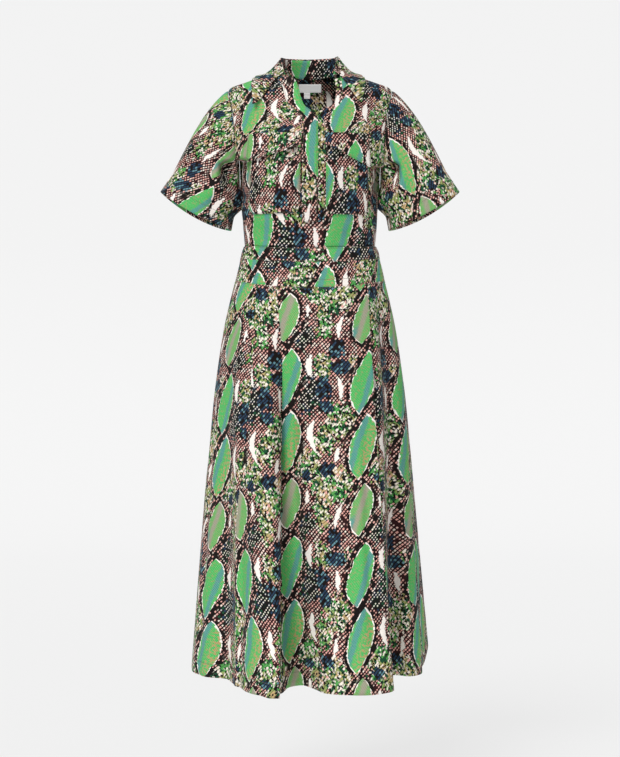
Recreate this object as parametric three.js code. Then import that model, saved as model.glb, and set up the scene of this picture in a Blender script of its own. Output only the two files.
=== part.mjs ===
// Shirtwaist dress: short set-in sleeves, spread collar, half placket, two patch
// pockets with slanted flaps, a two-row shaped waistband and a pleated skirt.
// Millimetres. X is across the body, -Y is the front, +Z is up.
// The origin is at the side of the neck, on the line of the shoulder seams.
import * as THREE from "three";

// ---------- driving dimensions ----------
const WALL = 1.6; // thickness of one layer of cloth
const SEAM = 0.3; // parting between two pieces that are sewn together
const LIE = 0.6; // parting under a piece that lies on another
const LAYER = WALL + LIE; // outer face to outer face of two layers

const SHOULDER_TIP_Z = -30; // where the shoulder seam ends and the sleeve begins
const ARMPIT_Z = -218;
const ARMHOLE_HALF_DEPTH = 54; // front to back, half
const WAIST_SEAM_Z = -341; // bodice to waistband, at the side seam
const BAND_SEAM_Z = -366; // between the two rows of the waistband
const SKIRT_SEAM_Z = -410; // waistband to skirt, at the side seam
const HEM_Z = -1192;
const WAIST_DIP = 8; // how far each seam sags at the centre front
const BAND_DIP = 11;
const SKIRT_DIP = 17;
const BACK_DIP = 3;
const DIP_START_Z = -285; // the bodice's rows begin to sag towards the waist here
const NECK_POINT_Z = -96; // foot of the neck opening
const BAND_RADIUS = 130; // turns the seam's parting into an angle
const SKIRT_RADIUS = 150;

const PLACKET_FOOT_Z = -296;
const PLACKET_LEFT_X = -15;
const PLACKET_EDGE_X = 15; // free edge of the over band
const UNDER_EDGE_X = 28; // where the under band is sewn to the right front

const LABEL = { halfWidth: 23, top: -2, height: 15, thick: 0.8 };
const TAB = { halfWidth: 6, height: 12, x: -6 };

// Half width at the side, depth in front of and behind the side seam, by height.
const TORSO = [
  { z: 6, side: 70, front: 34, back: 66 },
  { z: -6, side: 106, front: 50, back: 78 },
  { z: -16, side: 134, front: 62, back: 86 },
  { z: -27, side: 161, front: 72, back: 92 },
  { z: -50, side: 168, front: 86, back: 97 },
  { z: -80, side: 168, front: 97, back: 101 },
  { z: -120, side: 164, front: 108, back: 104 },
  { z: -160, side: 157, front: 116, back: 103 },
  { z: -200, side: 146, front: 119, back: 99 },
  { z: -222, side: 139, front: 117, back: 95 },
  { z: -260, side: 135.5, front: 110, back: 89 },
  { z: -300, side: 133.5, front: 100, back: 84 },
  { z: -330, side: 131, front: 94, back: 82 },
  { z: -352, side: 129, front: 92, back: 81 },
];

const BAND = [
  { z: -340, side: 131.5, front: 94.5, back: 83 },
  { z: -352, side: 136.5, front: 96.5, back: 86 },
  { z: -372, side: 140.5, front: 100, back: 91 },
  { z: -400, side: 147, front: 106, back: 99 },
  { z: -430, side: 154, front: 113, back: 107 },
];

// The skirt without its folds: half widths and depths down to the hem.
const SKIRT = [
  { z: -408, side: 149, front: 108, back: 101 },
  { z: -448, side: 159.5, front: 118, back: 112 },
  { z: -496, side: 170.5, front: 130, back: 123 },
  { z: -544, side: 179, front: 141, back: 133 },
  { z: -640, side: 192, front: 160, back: 151 },
  { z: -736, side: 201, front: 175, back: 166 },
  { z: -880, side: 212.5, front: 192, back: 182 },
  { z: -1024, side: 224, front: 207, back: 196 },
  { z: -1192, side: 237, front: 222, back: 210 },
];

// Ridges and valleys of the hem, from the left side seam across the front to the
// right one and on round the back. "turn" is the angle from centre front at the
// waist seam, "x" and "y" the place at the hem, "lift" how far the hem rises
// there, and "grow" how late the fold opens (1 = evenly from waist to hem).
const FOLDS = [
  { turn: -90, x: -237, y: 20, lift: 0, grow: 1 },
  { turn: -76, x: -206, y: -50, lift: 0, grow: 1 },
  { turn: -60, x: -166, y: -72, lift: 0, grow: 1.1 },
  { turn: -55, x: -150, y: -112, lift: -2, grow: 1.1 },
  { turn: -50, x: -137, y: -174, lift: -2, grow: 1.1 },
  { turn: -39, x: -96, y: -232, lift: -3, grow: 1 },
  { turn: -31, x: -74, y: -250, lift: -6, grow: 1 },
  { turn: -26, x: -56, y: -249, lift: -6, grow: 1 },
  { turn: -22, x: -44, y: -216, lift: -3, grow: 1 },
  { turn: -18, x: -34, y: -164, lift: 0, grow: 1 },
  { turn: -12, x: -15, y: -146, lift: 0, grow: 1 },
  { turn: -3, x: 22, y: -206, lift: -3, grow: 1 },
  { turn: 14, x: 68, y: -229, lift: -4, grow: 1 },
  { turn: 32, x: 116, y: -227, lift: -4, grow: 0.9 },
  { turn: 46, x: 151, y: -207, lift: -2, grow: 0.8 },
  { turn: 50, x: 160, y: -174, lift: 0, grow: 0.8 },
  { turn: 54, x: 161, y: -96, lift: 0, grow: 0.8 },
  { turn: 60, x: 168, y: -38, lift: 0, grow: 0.9 },
  { turn: 70, x: 198, y: -44, lift: 0, grow: 1 },
  { turn: 80, x: 221, y: -18, lift: 0, grow: 1 },
  { turn: 90, x: 229, y: 34, lift: 10, grow: 1 },
  { turn: 101, x: 242, y: 92, lift: 44, grow: 1 },
  { turn: 113, x: 220, y: 136, lift: 18, grow: 1 },
  { turn: 124, x: 182, y: 134, lift: 4, grow: 1 },
  { turn: 136, x: 160, y: 186, lift: 0, grow: 1 },
  { turn: 147, x: 118, y: 222, lift: -2, grow: 1 },
  { turn: 158, x: 74, y: 190, lift: 0, grow: 1 },
  { turn: 170, x: 40, y: 204, lift: 0, grow: 1 },
  { turn: 181, x: 2, y: 234, lift: -3, grow: 1 },
  { turn: 192, x: -42, y: 208, lift: 0, grow: 1 },
  { turn: 203, x: -76, y: 182, lift: 2, grow: 1 },
  { turn: 214, x: -112, y: 214, lift: 0, grow: 1 },
  { turn: 226, x: -158, y: 196, lift: 0, grow: 1 },
  { turn: 239, x: -184, y: 144, lift: 4, grow: 1 },
  { turn: 252, x: -226, y: 106, lift: 2, grow: 1 },
];

// Edge of the neck opening on each front, from its foot up to the collar.
const NECK_LEFT = [
  { z: -96, x: 4 },
  { z: -78, x: -9 },
  { z: -56, x: -18 },
  { z: -34, x: -23 },
  { z: -16, x: -31 },
  { z: -6, x: -42 },
  { z: 6, x: -70 },
];
const NECK_RIGHT = [
  { z: -96, x: 12 },
  { z: -86, x: 30 },
  { z: -72, x: 43 },
  { z: -52, x: 51 },
  { z: -24, x: 50 },
  { z: -6, x: 46 },
  { z: 6, x: 56 },
];

// Collar, from the left front end round the back to the right front end:
// the neck seam, the roll at the top and the outer edge of the fall.
const COLLAR = [
  { at: 0, seam: [-41, -42, -12], roll: [-50, -40, -5], edge: [-112, -92, -70] },
  { at: 0.13, seam: [-55, -24, -1], roll: [-53, -22, 17], edge: [-111, -62, -42] },
  { at: 0.27, seam: [-61, 4, 8], roll: [-56, 4, 35], edge: [-108, 2, 0] },
  { at: 0.38, seam: [-47.8, 45.8, 6], roll: [-43, 43, 41], edge: [-74, 60, 4] },
  { at: 0.5, seam: [0, 64.2, 3], roll: [0, 60, 43], edge: [0, 84, -6] },
  { at: 0.62, seam: [47.8, 45.8, 6], roll: [42, 43, 42], edge: [72, 60, 5] },
  { at: 0.73, seam: [61, 4, 8], roll: [54, 4, 38], edge: [103, 2, 2] },
  { at: 0.87, seam: [56, -20, -1], roll: [50, -20, 20], edge: [104, -58, -38] },
  { at: 1, seam: [48, -33, -10], roll: [46, -33, -3], edge: [101, -90, -65] },
];

// Chest pockets and flaps, each side: inner and outer edge, and the heights of
// the flap's slanted lower edge at the two ends.
const POCKETS = [
  { side: "left", inner: -19, outer: -118, top: -146, foot: -282, flapInner: -157, flapOuter: -181 },
  { side: "right", inner: 31, outer: 112, top: -146, foot: -284, flapInner: -153, flapOuter: -192 },
];
const FLAP_TOP_Z = -128;
const POCKET_CORNER = 9; // cut-off lower corners

const SLEEVE = {
  outerX: 299,
  outerZ: -231,
  innerX: 157,
  innerZ: -308,
  halfDepth: 64,
  bow: 9, // how far the hem dips between its corners
  crown: 11, // fullness of the sleeve head
  crownEnd: 0.8, // the head's fullness is gone this far down the sleeve
  swell: 7, // how far its front and back round out
  part: 0.5, // parting from the armhole
};
const SLEEVE_ROWS = [0, 0.07, 0.18, 0.34, 0.55, 0.78, 1]; // armhole to hem

const COLOURS = {
  bodice: "#6f7d5c",
  skirt: "#64785a",
  sleeve: "#74825f",
  band: "#5f6f58",
  trim: "#7c8a66",
  label: "#e9e6df",
};

// ---------- small helpers ----------
const rad = (deg) => (deg * Math.PI) / 180;
const clamp = (v, low, high) => Math.min(high, Math.max(low, v));
const mix = (a, b, t) => a + (b - a) * t;
const span = (n) => Array.from({ length: n + 1 }, (_, i) => i / n);

function smooth(low, high, v) {
  const t = clamp((v - low) / (high - low), 0, 1);
  return t * t * (3 - 2 * t);
}

// Smooth reading of one column of a table between its rows, without overshoot.
function column(rows, key, value) {
  const up = rows[rows.length - 1][key] > rows[0][key];
  const list = up ? rows : [...rows].reverse();
  const xs = list.map((row) => row[key]);
  const ys = list.map((row) => row[value]);
  const slopes = xs.slice(1).map((x, i) => (ys[i + 1] - ys[i]) / (x - xs[i]));
  const tangents = ys.map((_, i) => {
    if (i === 0) return slopes[0];
    if (i === ys.length - 1) return slopes[slopes.length - 1];
    const [a, b] = [slopes[i - 1], slopes[i]];
    return a * b <= 0 ? 0 : (2 * a * b) / (a + b);
  });
  return (x) => {
    const v = clamp(x, xs[0], xs[xs.length - 1]);
    let i = 0;
    while (i < xs.length - 2 && v > xs[i + 1]) i += 1;
    const h = xs[i + 1] - xs[i];
    const t = (v - xs[i]) / h;
    const t2 = t * t;
    const t3 = t2 * t;
    const rise = ys[i] * (2 * t3 - 3 * t2 + 1) + ys[i + 1] * (3 * t2 - 2 * t3);
    return rise + h * (tangents[i] * (t3 - 2 * t2 + t) + tangents[i + 1] * (t3 - t2));
  };
}

// Level ring of the body: "turn" runs from centre front (0) to the right side
// (90 degrees) and on round the back.
function ringed(rows, power) {
  const side = column(rows, "z", "side");
  const front = column(rows, "z", "front");
  const back = column(rows, "z", "back");
  const bend = (v) => Math.sign(v) * Math.abs(v) ** (2 / power);
  const point = (turn, z) => {
    const s = bend(Math.sin(turn));
    const c = bend(Math.cos(turn));
    return new THREE.Vector3(side(z) * s, -c * (c > 0 ? front(z) : back(z)), z);
  };
  const turnAtX = (x, z) => {
    const ratio = clamp(Math.abs(x) / side(z), 0, 1);
    return Math.sign(x) * Math.asin(ratio ** (power / 2));
  };
  const turnAtY = (y, z) => {
    const depth = y < 0 ? front(z) : back(z);
    const ratio = clamp(Math.abs(y) / depth, 0, 1);
    return y < 0 ? Math.acos(ratio ** (power / 2)) : Math.PI - Math.acos(ratio ** (power / 2));
  };
  return { point, turnAtX, turnAtY, side, front, back };
}

const RING_POWER = 2.3; // 2 is an ellipse, more is squarer
const torso = ringed(TORSO, RING_POWER);
const band = ringed(BAND, RING_POWER);
const skirt = ringed(SKIRT, RING_POWER);

function outward(surface, turn, z) {
  const step = 0.01;
  const across = surface.point(turn + step, z).sub(surface.point(turn - step, z));
  const along = surface.point(turn, z + 1).sub(surface.point(turn, z - 1));
  return across.cross(along).normalize();
}

// A point on the front of the bodice, moved out by "lift".
function onFront(x, z, lift) {
  const turn = torso.turnAtX(x, z);
  return torso.point(turn, z).addScaledVector(outward(torso, turn, z), lift);
}

function sag(turn, frontDip) {
  const c = Math.cos(turn);
  return c > 0 ? frontDip * c * c : BACK_DIP * c * c;
}

// ---------- cloth walls ----------
// A wall of even thickness under a grid of outer points. Cells are quads of
// point numbers, anticlockwise from outside.
function wall(name, colour, points, cells, thickness = WALL) {
  const normals = points.map(() => new THREE.Vector3());
  const tris = [];
  cells.forEach(([a, b, c, d]) => {
    tris.push([a, b, c], [a, c, d]);
  });
  const solidTris = tris.filter(([a, b, c]) => a !== b && b !== c && a !== c);
  solidTris.forEach(([a, b, c]) => {
    const ab = points[b].clone().sub(points[a]);
    const ac = points[c].clone().sub(points[a]);
    const n = ab.cross(ac);
    [a, b, c].forEach((i) => normals[i].add(n));
  });
  const inner = points.map((p, i) => p.clone().addScaledVector(normals[i].normalize(), -thickness));
  const count = points.length;
  const index = [];
  const edges = new Map();
  solidTris.forEach(([a, b, c]) => {
    index.push(a, b, c, c + count, b + count, a + count);
    [[a, b], [b, c], [c, a]].forEach(([p, q]) => edges.set(`${p}_${q}`, [p, q]));
  });
  edges.forEach(([p, q]) => {
    if (edges.has(`${q}_${p}`)) return;
    index.push(q, p, p + count, q, p + count, q + count);
  });
  const geometry = new THREE.BufferGeometry();
  const flat = [...points, ...inner].flatMap((p) => [p.x, p.y, p.z]);
  geometry.setAttribute("position", new THREE.Float32BufferAttribute(flat, 3));
  geometry.setIndex(index);
  geometry.computeVertexNormals();
  const material = new THREE.MeshStandardMaterial({ color: colour, roughness: 0.85, metalness: 0 });
  material.side = THREE.DoubleSide;
  const mesh = new THREE.Mesh(geometry, material);
  mesh.name = name;
  return mesh;
}

// A sheet whose rows and columns come from "place(s, t)". Both run from 0 to 1.
// "round" joins the last column to the first.
function sheet(name, colour, columns, rows, place, options = {}) {
  const { round = false, thickness = WALL, flip = false } = options;
  const across = round ? columns.slice(0, -1) : columns;
  const points = rows.flatMap((t) => across.map((s) => place(s, t)));
  const wide = across.length;
  const cells = [];
  for (let j = 0; j < rows.length - 1; j += 1) {
    for (let i = 0; i < columns.length - 1; i += 1) {
      const next = (i + 1) % wide;
      const quad = [j * wide + i, j * wide + next, (j + 1) * wide + next, (j + 1) * wide + i];
      cells.push(flip ? quad.reverse() : quad);
    }
  }
  return wall(name, colour, points, cells, thickness);
}

// ---------- bodice ----------
const ARMHOLE_Z = (SHOULDER_TIP_Z + ARMPIT_Z) / 2;
const ARMHOLE_HALF_HEIGHT = (SHOULDER_TIP_Z - ARMPIT_Z) / 2;

function armholeDepth(z) {
  const u = (z - ARMHOLE_Z) / ARMHOLE_HALF_HEIGHT;
  return ARMHOLE_HALF_DEPTH * Math.sqrt(Math.max(0, 1 - u * u));
}

// Angle at which a front or back ends at its side: side seam, armhole or shoulder.
function sideTurn(z, front) {
  const gap = SEAM / 2 / (front ? torso.front(z) : torso.back(z));
  const inArmhole = z < SHOULDER_TIP_Z && z > ARMPIT_Z;
  const depth = inArmhole ? armholeDepth(z) : 0;
  const turn = torso.turnAtY(front ? -depth : depth, z);
  return front ? turn - gap : turn + gap;
}

// Heights of the rows of a bodice panel, closer together round the armhole ends.
const ARMHOLE_STEPS = 9;
const LOWER_ROWS = [WAIST_SEAM_Z, -326, -306, -282, -258, -236];
const ARM_ROWS = span(ARMHOLE_STEPS).map((t) => ARMHOLE_Z - ARMHOLE_HALF_HEIGHT * Math.cos(Math.PI * t));
const TOP_ROWS = [-22, -14, -6, 0, 5];
const BODICE_ROWS = [...LOWER_ROWS, ...ARM_ROWS, ...TOP_ROWS];

function bodicePoint(turn, z) {
  const drop = smooth(DIP_START_Z, WAIST_SEAM_Z, z) * sag(turn, WAIST_DIP);
  return torso.point(turn, z - drop);
}

const neckLeft = column(NECK_LEFT, "z", "x");
const neckRight = column(NECK_RIGHT, "z", "x");
const UNDER_WIDTH = 13; // how much of the under band shows beside the neck opening
const UNDERLAP = 3; // how far the left front runs on under the over band
const OPEN_ABOVE = 26; // the bands leave the placket over this height above its point

// Where the cloth of each front begins beside the placket and the neck opening.
function leftFrontEdge(z) {
  const open = smooth(NECK_POINT_Z - 4, NECK_POINT_Z + OPEN_ABOVE + 4, z);
  return mix(PLACKET_LEFT_X, neckLeft(z) - UNDERLAP, open);
}

function rightFrontEdge(z) {
  const open = smooth(NECK_POINT_Z - 12, NECK_POINT_Z + OPEN_ABOVE, z);
  return mix(UNDER_EDGE_X, neckRight(z) + UNDER_WIDTH, open);
}

// The front is one piece, cut open down to the foot of the placket.
function bodiceFront() {
  const half = 15;
  const points = [];
  const cells = [];
  const id = [];
  BODICE_ROWS.forEach((z, j) => {
    const out = sideTurn(z, true);
    const split = j >= PLACKET_ROW;
    const left = split ? torso.turnAtX(leftFrontEdge(z), z) : torso.turnAtX(PLACKET_LEFT_X, z);
    const right = split ? torso.turnAtX(rightFrontEdge(z), z) : torso.turnAtX(UNDER_EDGE_X, z);
    id[j] = [];
    span(half).forEach((s) => {
      id[j].push(points.length);
      points.push(bodicePoint(mix(-out, left, s), z));
    });
    span(half).forEach((s) => {
      id[j].push(points.length);
      points.push(bodicePoint(mix(right, out, s), z));
    });
  });
  for (let j = 0; j < BODICE_ROWS.length - 1; j += 1) {
    for (let i = 0; i < id[j].length - 1; i += 1) {
      const slit = i === half && j >= PLACKET_ROW - 1;
      if (!slit) cells.push([id[j][i], id[j][i + 1], id[j + 1][i + 1], id[j + 1][i]]);
    }
  }
  return wall("bodice_front", COLOURS.bodice, points, cells);
}

function bodiceBack() {
  return sheet("bodice_back", COLOURS.bodice, span(24), BODICE_ROWS, (s, z) => {
    const start = sideTurn(z, false);
    return bodicePoint(mix(start, 2 * Math.PI - start, s), z);
  });
}

// ---------- placket ----------
// Rows run up the band; the over band lies on the front, the under band fills
// the cut beneath it and turns back beside the neck opening.
const PLACKET_ROW = BODICE_ROWS.findIndex((z) => z > PLACKET_FOOT_Z);
const BAND_TOP_Z = -12;
const BAND_ROWS = BODICE_ROWS.filter((z, j) => j >= PLACKET_ROW && z < BAND_TOP_Z);

function placketOver() {
  const rows = [PLACKET_FOOT_Z - 4, ...BAND_ROWS];
  return sheet("placket_over", COLOURS.trim, span(3), rows, (s, z) => {
    const open = smooth(NECK_POINT_Z - 6, NECK_POINT_Z + OPEN_ABOVE, z);
    const right = mix(PLACKET_EDGE_X, neckLeft(z), open);
    return onFront(mix(right - (PLACKET_EDGE_X - PLACKET_LEFT_X), right, s), z, LAYER);
  });
}

function placketUnder() {
  const rows = [BODICE_ROWS[PLACKET_ROW - 1] + SEAM, ...BAND_ROWS];
  return sheet("placket_under", COLOURS.trim, span(4), rows, (s, z) => {
    const open = smooth(NECK_POINT_Z - 16, NECK_POINT_Z + OPEN_ABOVE, z);
    const left = mix(leftFrontEdge(z) + SEAM, rightFrontEdge(z) - UNDER_WIDTH, open);
    const right = rightFrontEdge(z) - SEAM;
    return onFront(mix(left, right, s), z, 0);
  });
}

// ---------- pockets ----------
function pocket({ side, inner, outer, top, foot }) {
  const rows = span(9);
  return sheet(`pocket_${side}`, COLOURS.trim, span(8), rows, (s, t) => {
    const from = side === "left" ? outer : inner;
    const to = side === "left" ? inner : outer;
    const z = mix(foot, top, t);
    const corner = POCKET_CORNER * clamp(1 - (z - foot) / POCKET_CORNER, 0, 1);
    const turn = mix(torso.turnAtX(from + corner, z), torso.turnAtX(to - corner, z), s);
    return torso.point(turn, z).addScaledVector(outward(torso, turn, z), LAYER);
  });
}

function flap({ side, inner, outer, flapInner, flapOuter }) {
  return sheet(`pocket_flap_${side}`, COLOURS.trim, span(8), span(4), (s, t) => {
    const from = side === "left" ? outer : inner;
    const to = side === "left" ? inner : outer;
    const x = mix(from - 1, to + 1, s);
    const reach = (x - inner) / (outer - inner);
    return onFront(x, mix(mix(flapInner, flapOuter, reach), FLAP_TOP_Z, t), 2 * LAYER);
  });
}

// ---------- sleeves ----------
// Rings from the armhole to the hem. "around" starts at the top of the shoulder.
function sleeve(name, sign) {
  const hemOuter = new THREE.Vector3(SLEEVE.outerX, 0, SLEEVE.outerZ);
  const hemInner = new THREE.Vector3(SLEEVE.innerX, 0, SLEEVE.innerZ);
  const hemMiddle = hemOuter.clone().lerp(hemInner, 0.5);
  const hemAcross = hemOuter.clone().sub(hemInner);
  const halfWide = hemAcross.length() / 2;
  hemAcross.normalize();
  const down = new THREE.Vector3(-hemAcross.z, 0, hemAcross.x).negate();
  const around = span(26);
  const place = (s, t) => {
    const angle = 2 * Math.PI * s;
    const z = ARMHOLE_Z + ARMHOLE_HALF_HEIGHT * Math.cos(angle);
    const y = -armholeDepth(z) * Math.sign(Math.sin(angle) || 1);
    const start = torso.point(Math.abs(y) < 1e-6 ? Math.PI / 2 : torso.turnAtY(y, z), z);
    const top = Math.max(0, Math.cos(angle));
    start.x += SLEEVE.part + WALL * top;
    const hem = hemMiddle.clone();
    hem.addScaledVector(hemAcross, halfWide * Math.cos(angle));
    hem.y -= SLEEVE.halfDepth * Math.sin(angle);
    hem.addScaledVector(down, SLEEVE.bow * Math.sin(angle) ** 2);
    const p = start.lerp(hem, t);
    const full = SLEEVE.crown * Math.sin(Math.PI * Math.sqrt(clamp(t / SLEEVE.crownEnd, 0, 1)));
    p.addScaledVector(hemAcross, full * top);
    p.y -= Math.sin(angle) * SLEEVE.swell * Math.sin(Math.PI * t);
    p.x *= sign;
    return p;
  };
  return sheet(name, COLOURS.sleeve, around, SLEEVE_ROWS, place, {
    round: true,
    flip: sign < 0,
  });
}

// ---------- waistband ----------
function waistband(name, topZ, topDip, footZ, footDip, front) {
  const half = Math.PI / 2;
  return sheet(name, COLOURS.band, span(24), span(2), (s, t) => {
    const gap = SEAM / 2 / BAND_RADIUS;
    const turn = front ? mix(-half + gap, half - gap, s) : mix(half + gap, 3 * half - gap, s);
    const top = topZ - SEAM - sag(turn, topDip);
    const foot = footZ - sag(turn, footDip);
    return band.point(turn, mix(foot, top, t));
  });
}

// ---------- skirt ----------
const hemLine = new THREE.CatmullRomCurve3(
  FOLDS.map((row) => new THREE.Vector3(row.x, row.y, 0)),
  true,
  "centripetal",
);
const foldTurns = [...FOLDS.map((row) => row.turn), FOLDS[0].turn + 360];

// The hem's place at one angle of the waist seam.
function fold(turn) {
  const deg = (turn * 180) / Math.PI;
  let i = 0;
  while (i < FOLDS.length - 1 && deg > foldTurns[i + 1]) i += 1;
  const t = clamp((deg - foldTurns[i]) / (foldTurns[i + 1] - foldTurns[i]), 0, 1);
  const at = hemLine.getPoint(((i + t) / FOLDS.length) % 1);
  const next = FOLDS[(i + 1) % FOLDS.length];
  const ease = t * t * (3 - 2 * t);
  return {
    x: at.x,
    y: at.y,
    lift: mix(FOLDS[i].lift, next.lift, ease),
    grow: mix(FOLDS[i].grow, next.grow, ease),
  };
}

function skirtPanel(name, first, last, rows) {
  const gap = SEAM / 2 / SKIRT_RADIUS;
  return sheet(name, COLOURS.skirt, foldColumns(first, last), rows, (s, t) => {
    const turn = mix(rad(first) + gap, rad(last) - gap, s);
    const open = fold(turn);
    const top = SKIRT_SEAM_Z - SEAM - sag(turn, SKIRT_DIP);
    const z = mix(HEM_Z, top, t);
    const plain = skirt.point(turn, z);
    const plainHem = skirt.point(turn, HEM_Z);
    const amount = (1 - t) ** open.grow;
    plain.x += (open.x - plainHem.x) * amount;
    plain.y += (open.y - plainHem.y) * amount;
    plain.z += open.lift * (1 - t) ** 2;
    return plain;
  });
}

// Columns between two side seams, closer together where the folds turn sharply.
const COLUMNS_PER_FOLD = 3;
function foldColumns(first, last) {
  const turns = foldTurns.filter((turn) => turn >= first && turn <= last);
  const list = turns.slice(1).flatMap((turn, i) =>
    span(COLUMNS_PER_FOLD).slice(0, -1).map((t) => mix(turns[i], turn, t)),
  );
  return [...list, last].map((turn) => (turn - first) / (last - first));
}

// ---------- collar ----------
function collarLine(key) {
  const line = COLLAR.map((row) => new THREE.Vector3(...row[key]));
  const curve = new THREE.CatmullRomCurve3(line, false, "centripetal");
  const last = COLLAR.length - 1;
  return (at) => {
    let i = 0;
    while (i < last - 1 && at > COLLAR[i + 1].at) i += 1;
    const t = clamp((at - COLLAR[i].at) / (COLLAR[i + 1].at - COLLAR[i].at), 0, 1);
    return curve.getPoint((i + t) / last);
  };
}

const seamLine = collarLine("seam");
const rollLine = collarLine("roll");
const edgeLine = collarLine("edge");

const MOST_STEPS = 60;
const LONGEST_STEP = 2;
const STEP_PAST = 0.05; // each step goes this much past the clearance it is short of

// Moves a point out of the body until it clears the cloth below by "lift".
function clearOfBody(p, lift) {
  const q = p.clone();
  for (let i = 0; i < MOST_STEPS; i += 1) {
    const z = clamp(q.z, ARMPIT_Z, TORSO[0].z);
    const turn = Math.atan2(q.x / torso.side(z), -q.y / (q.y < 0 ? torso.front(z) : torso.back(z)));
    const skin = torso.point(turn, z);
    const out = outward(torso, turn, z);
    const depth = q.clone().sub(skin).dot(out);
    if (depth >= lift) break;
    q.addScaledVector(out, Math.min(LONGEST_STEP, lift - depth + STEP_PAST));
  }
  return q;
}

const FALL_CLEAR = 1.5; // the fall's outer face beyond the roll line of the stand
const FALL_HOLLOW = 9; // how far the fall sinks towards the shoulder
const STAND_REACH = 0.97; // share of the way to the roll line
const STAND_RISE = 1; // the stand starts this far above the neck seam
const FALL_ROWS = [0, 0.1, 0.28, 0.48, 0.68, 0.85, 1]; // outer edge to roll

function collarStand() {
  return sheet("collar_stand", COLOURS.trim, span(28), span(2), (s, t) => {
    const foot = seamLine(s);
    const top = rollLine(s);
    foot.z += STAND_RISE;
    return foot.lerp(top, t * STAND_REACH);
  });
}

function collarFall() {
  return sheet("collar_fall", COLOURS.trim, span(36), FALL_ROWS, (s, t) => {
    const w = 1 - t;
    const roll = rollLine(s);
    const edge = edgeLine(s);
    const p = roll.lerp(edge, w);
    const away = new THREE.Vector3(p.x, p.y, 0).normalize();
    p.addScaledVector(away, FALL_CLEAR * (1 - w));
    p.z += FALL_CLEAR * (1 - w) - FALL_HOLLOW * Math.sin(Math.PI * w);
    const overBands = smooth(0.3, 0.4, Math.abs(s - 0.5));
    return clearOfBody(p, mix(LAYER, 2 * LAYER, overBands));
  });
}

// ---------- label ----------
function insideBack(x, z, lift) {
  const turn = Math.PI - torso.turnAtX(x, z);
  return torso.point(turn, z).addScaledVector(outward(torso, turn, z), -WALL - lift);
}

function neckLabel() {
  return sheet("neck_label", COLOURS.label, span(6), span(2), (s, t) => {
    const x = mix(LABEL.halfWidth, -LABEL.halfWidth, s);
    return insideBack(x, LABEL.top - LABEL.height * (1 - t), LIE);
  }, { thickness: LABEL.thick });
}

function sizeTab() {
  return sheet("size_tab", COLOURS.label, span(2), span(2), (s, t) => {
    const x = TAB.x + mix(TAB.halfWidth, -TAB.halfWidth, s);
    const foot = LABEL.top - LABEL.height - SEAM;
    return insideBack(x, foot - TAB.height * (1 - t), LIE);
  }, { thickness: LABEL.thick });
}

// ---------- dress ----------
const dress = new THREE.Group();
dress.add(bodiceFront());
dress.add(bodiceBack());
dress.add(sleeve("sleeve_right", 1));
dress.add(sleeve("sleeve_left", -1));
dress.add(placketOver());
dress.add(placketUnder());
POCKETS.forEach((row) => {
  dress.add(pocket(row));
  dress.add(flap(row));
});
dress.add(collarStand());
dress.add(collarFall());
dress.add(waistband("waistband_upper_front", WAIST_SEAM_Z, WAIST_DIP, BAND_SEAM_Z, BAND_DIP, true));
dress.add(waistband("waistband_upper_back", WAIST_SEAM_Z, WAIST_DIP, BAND_SEAM_Z, BAND_DIP, false));
dress.add(waistband("waistband_lower_front", BAND_SEAM_Z, BAND_DIP, SKIRT_SEAM_Z, SKIRT_DIP, true));
dress.add(waistband("waistband_lower_back", BAND_SEAM_Z, BAND_DIP, SKIRT_SEAM_Z, SKIRT_DIP, false));
dress.add(skirtPanel("skirt_front", -90, 90, span(12)));
dress.add(skirtPanel("skirt_back", 90, 270, span(11)));
dress.add(neckLabel());
dress.add(sizeTab());

export default dress;
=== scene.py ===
"""Looks of the shirtwaist dress: printed cotton shells on the form of the CAD solids.

Shapes are worked out in millimetres, in the CAD frame, and become metres when a mesh is made.
X is across the body, -Y is the front and +Z is up.
"""

import functools
import math

import bpy
import numpy as np
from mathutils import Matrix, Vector


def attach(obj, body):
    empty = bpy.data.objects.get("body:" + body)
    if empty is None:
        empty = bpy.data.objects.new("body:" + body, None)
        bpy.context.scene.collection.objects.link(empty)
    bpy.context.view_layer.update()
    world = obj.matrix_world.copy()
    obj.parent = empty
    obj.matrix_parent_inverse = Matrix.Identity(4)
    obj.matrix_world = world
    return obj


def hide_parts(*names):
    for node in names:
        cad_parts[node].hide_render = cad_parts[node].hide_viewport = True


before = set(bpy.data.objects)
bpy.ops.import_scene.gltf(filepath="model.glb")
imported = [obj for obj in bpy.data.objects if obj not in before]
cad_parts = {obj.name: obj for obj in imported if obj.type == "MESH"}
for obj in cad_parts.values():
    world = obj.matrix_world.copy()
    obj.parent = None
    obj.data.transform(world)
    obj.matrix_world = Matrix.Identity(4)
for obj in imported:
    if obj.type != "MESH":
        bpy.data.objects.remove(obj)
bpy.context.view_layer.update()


def table(columns, *rows):
    """A short table: each row as a dict, by the names of the columns. A row may leave out
    its last columns."""
    return [dict(zip(columns.split(), row)) for row in rows]


# ---------- sizes of the garment ----------
WALL = 1.6
SEAM = 0.3  # gap between two pieces that are sewn side by side
LIE = 0.6  # gap under a piece that lies on another one
LAYER = WALL + LIE

SHOULDER_TIP_Z = -30
ARMPIT_Z = -218
ARMHOLE_MIDDLE_Z = (SHOULDER_TIP_Z + ARMPIT_Z) / 2
ARMHOLE_HALF_HEIGHT = (SHOULDER_TIP_Z - ARMPIT_Z) / 2
ARMHOLE_HALF_DEPTH = 54
WAIST_SEAM_Z = -341
BAND_SEAM_Z = -366
SKIRT_SEAM_Z = -410
HEM_Z = -1192
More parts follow.
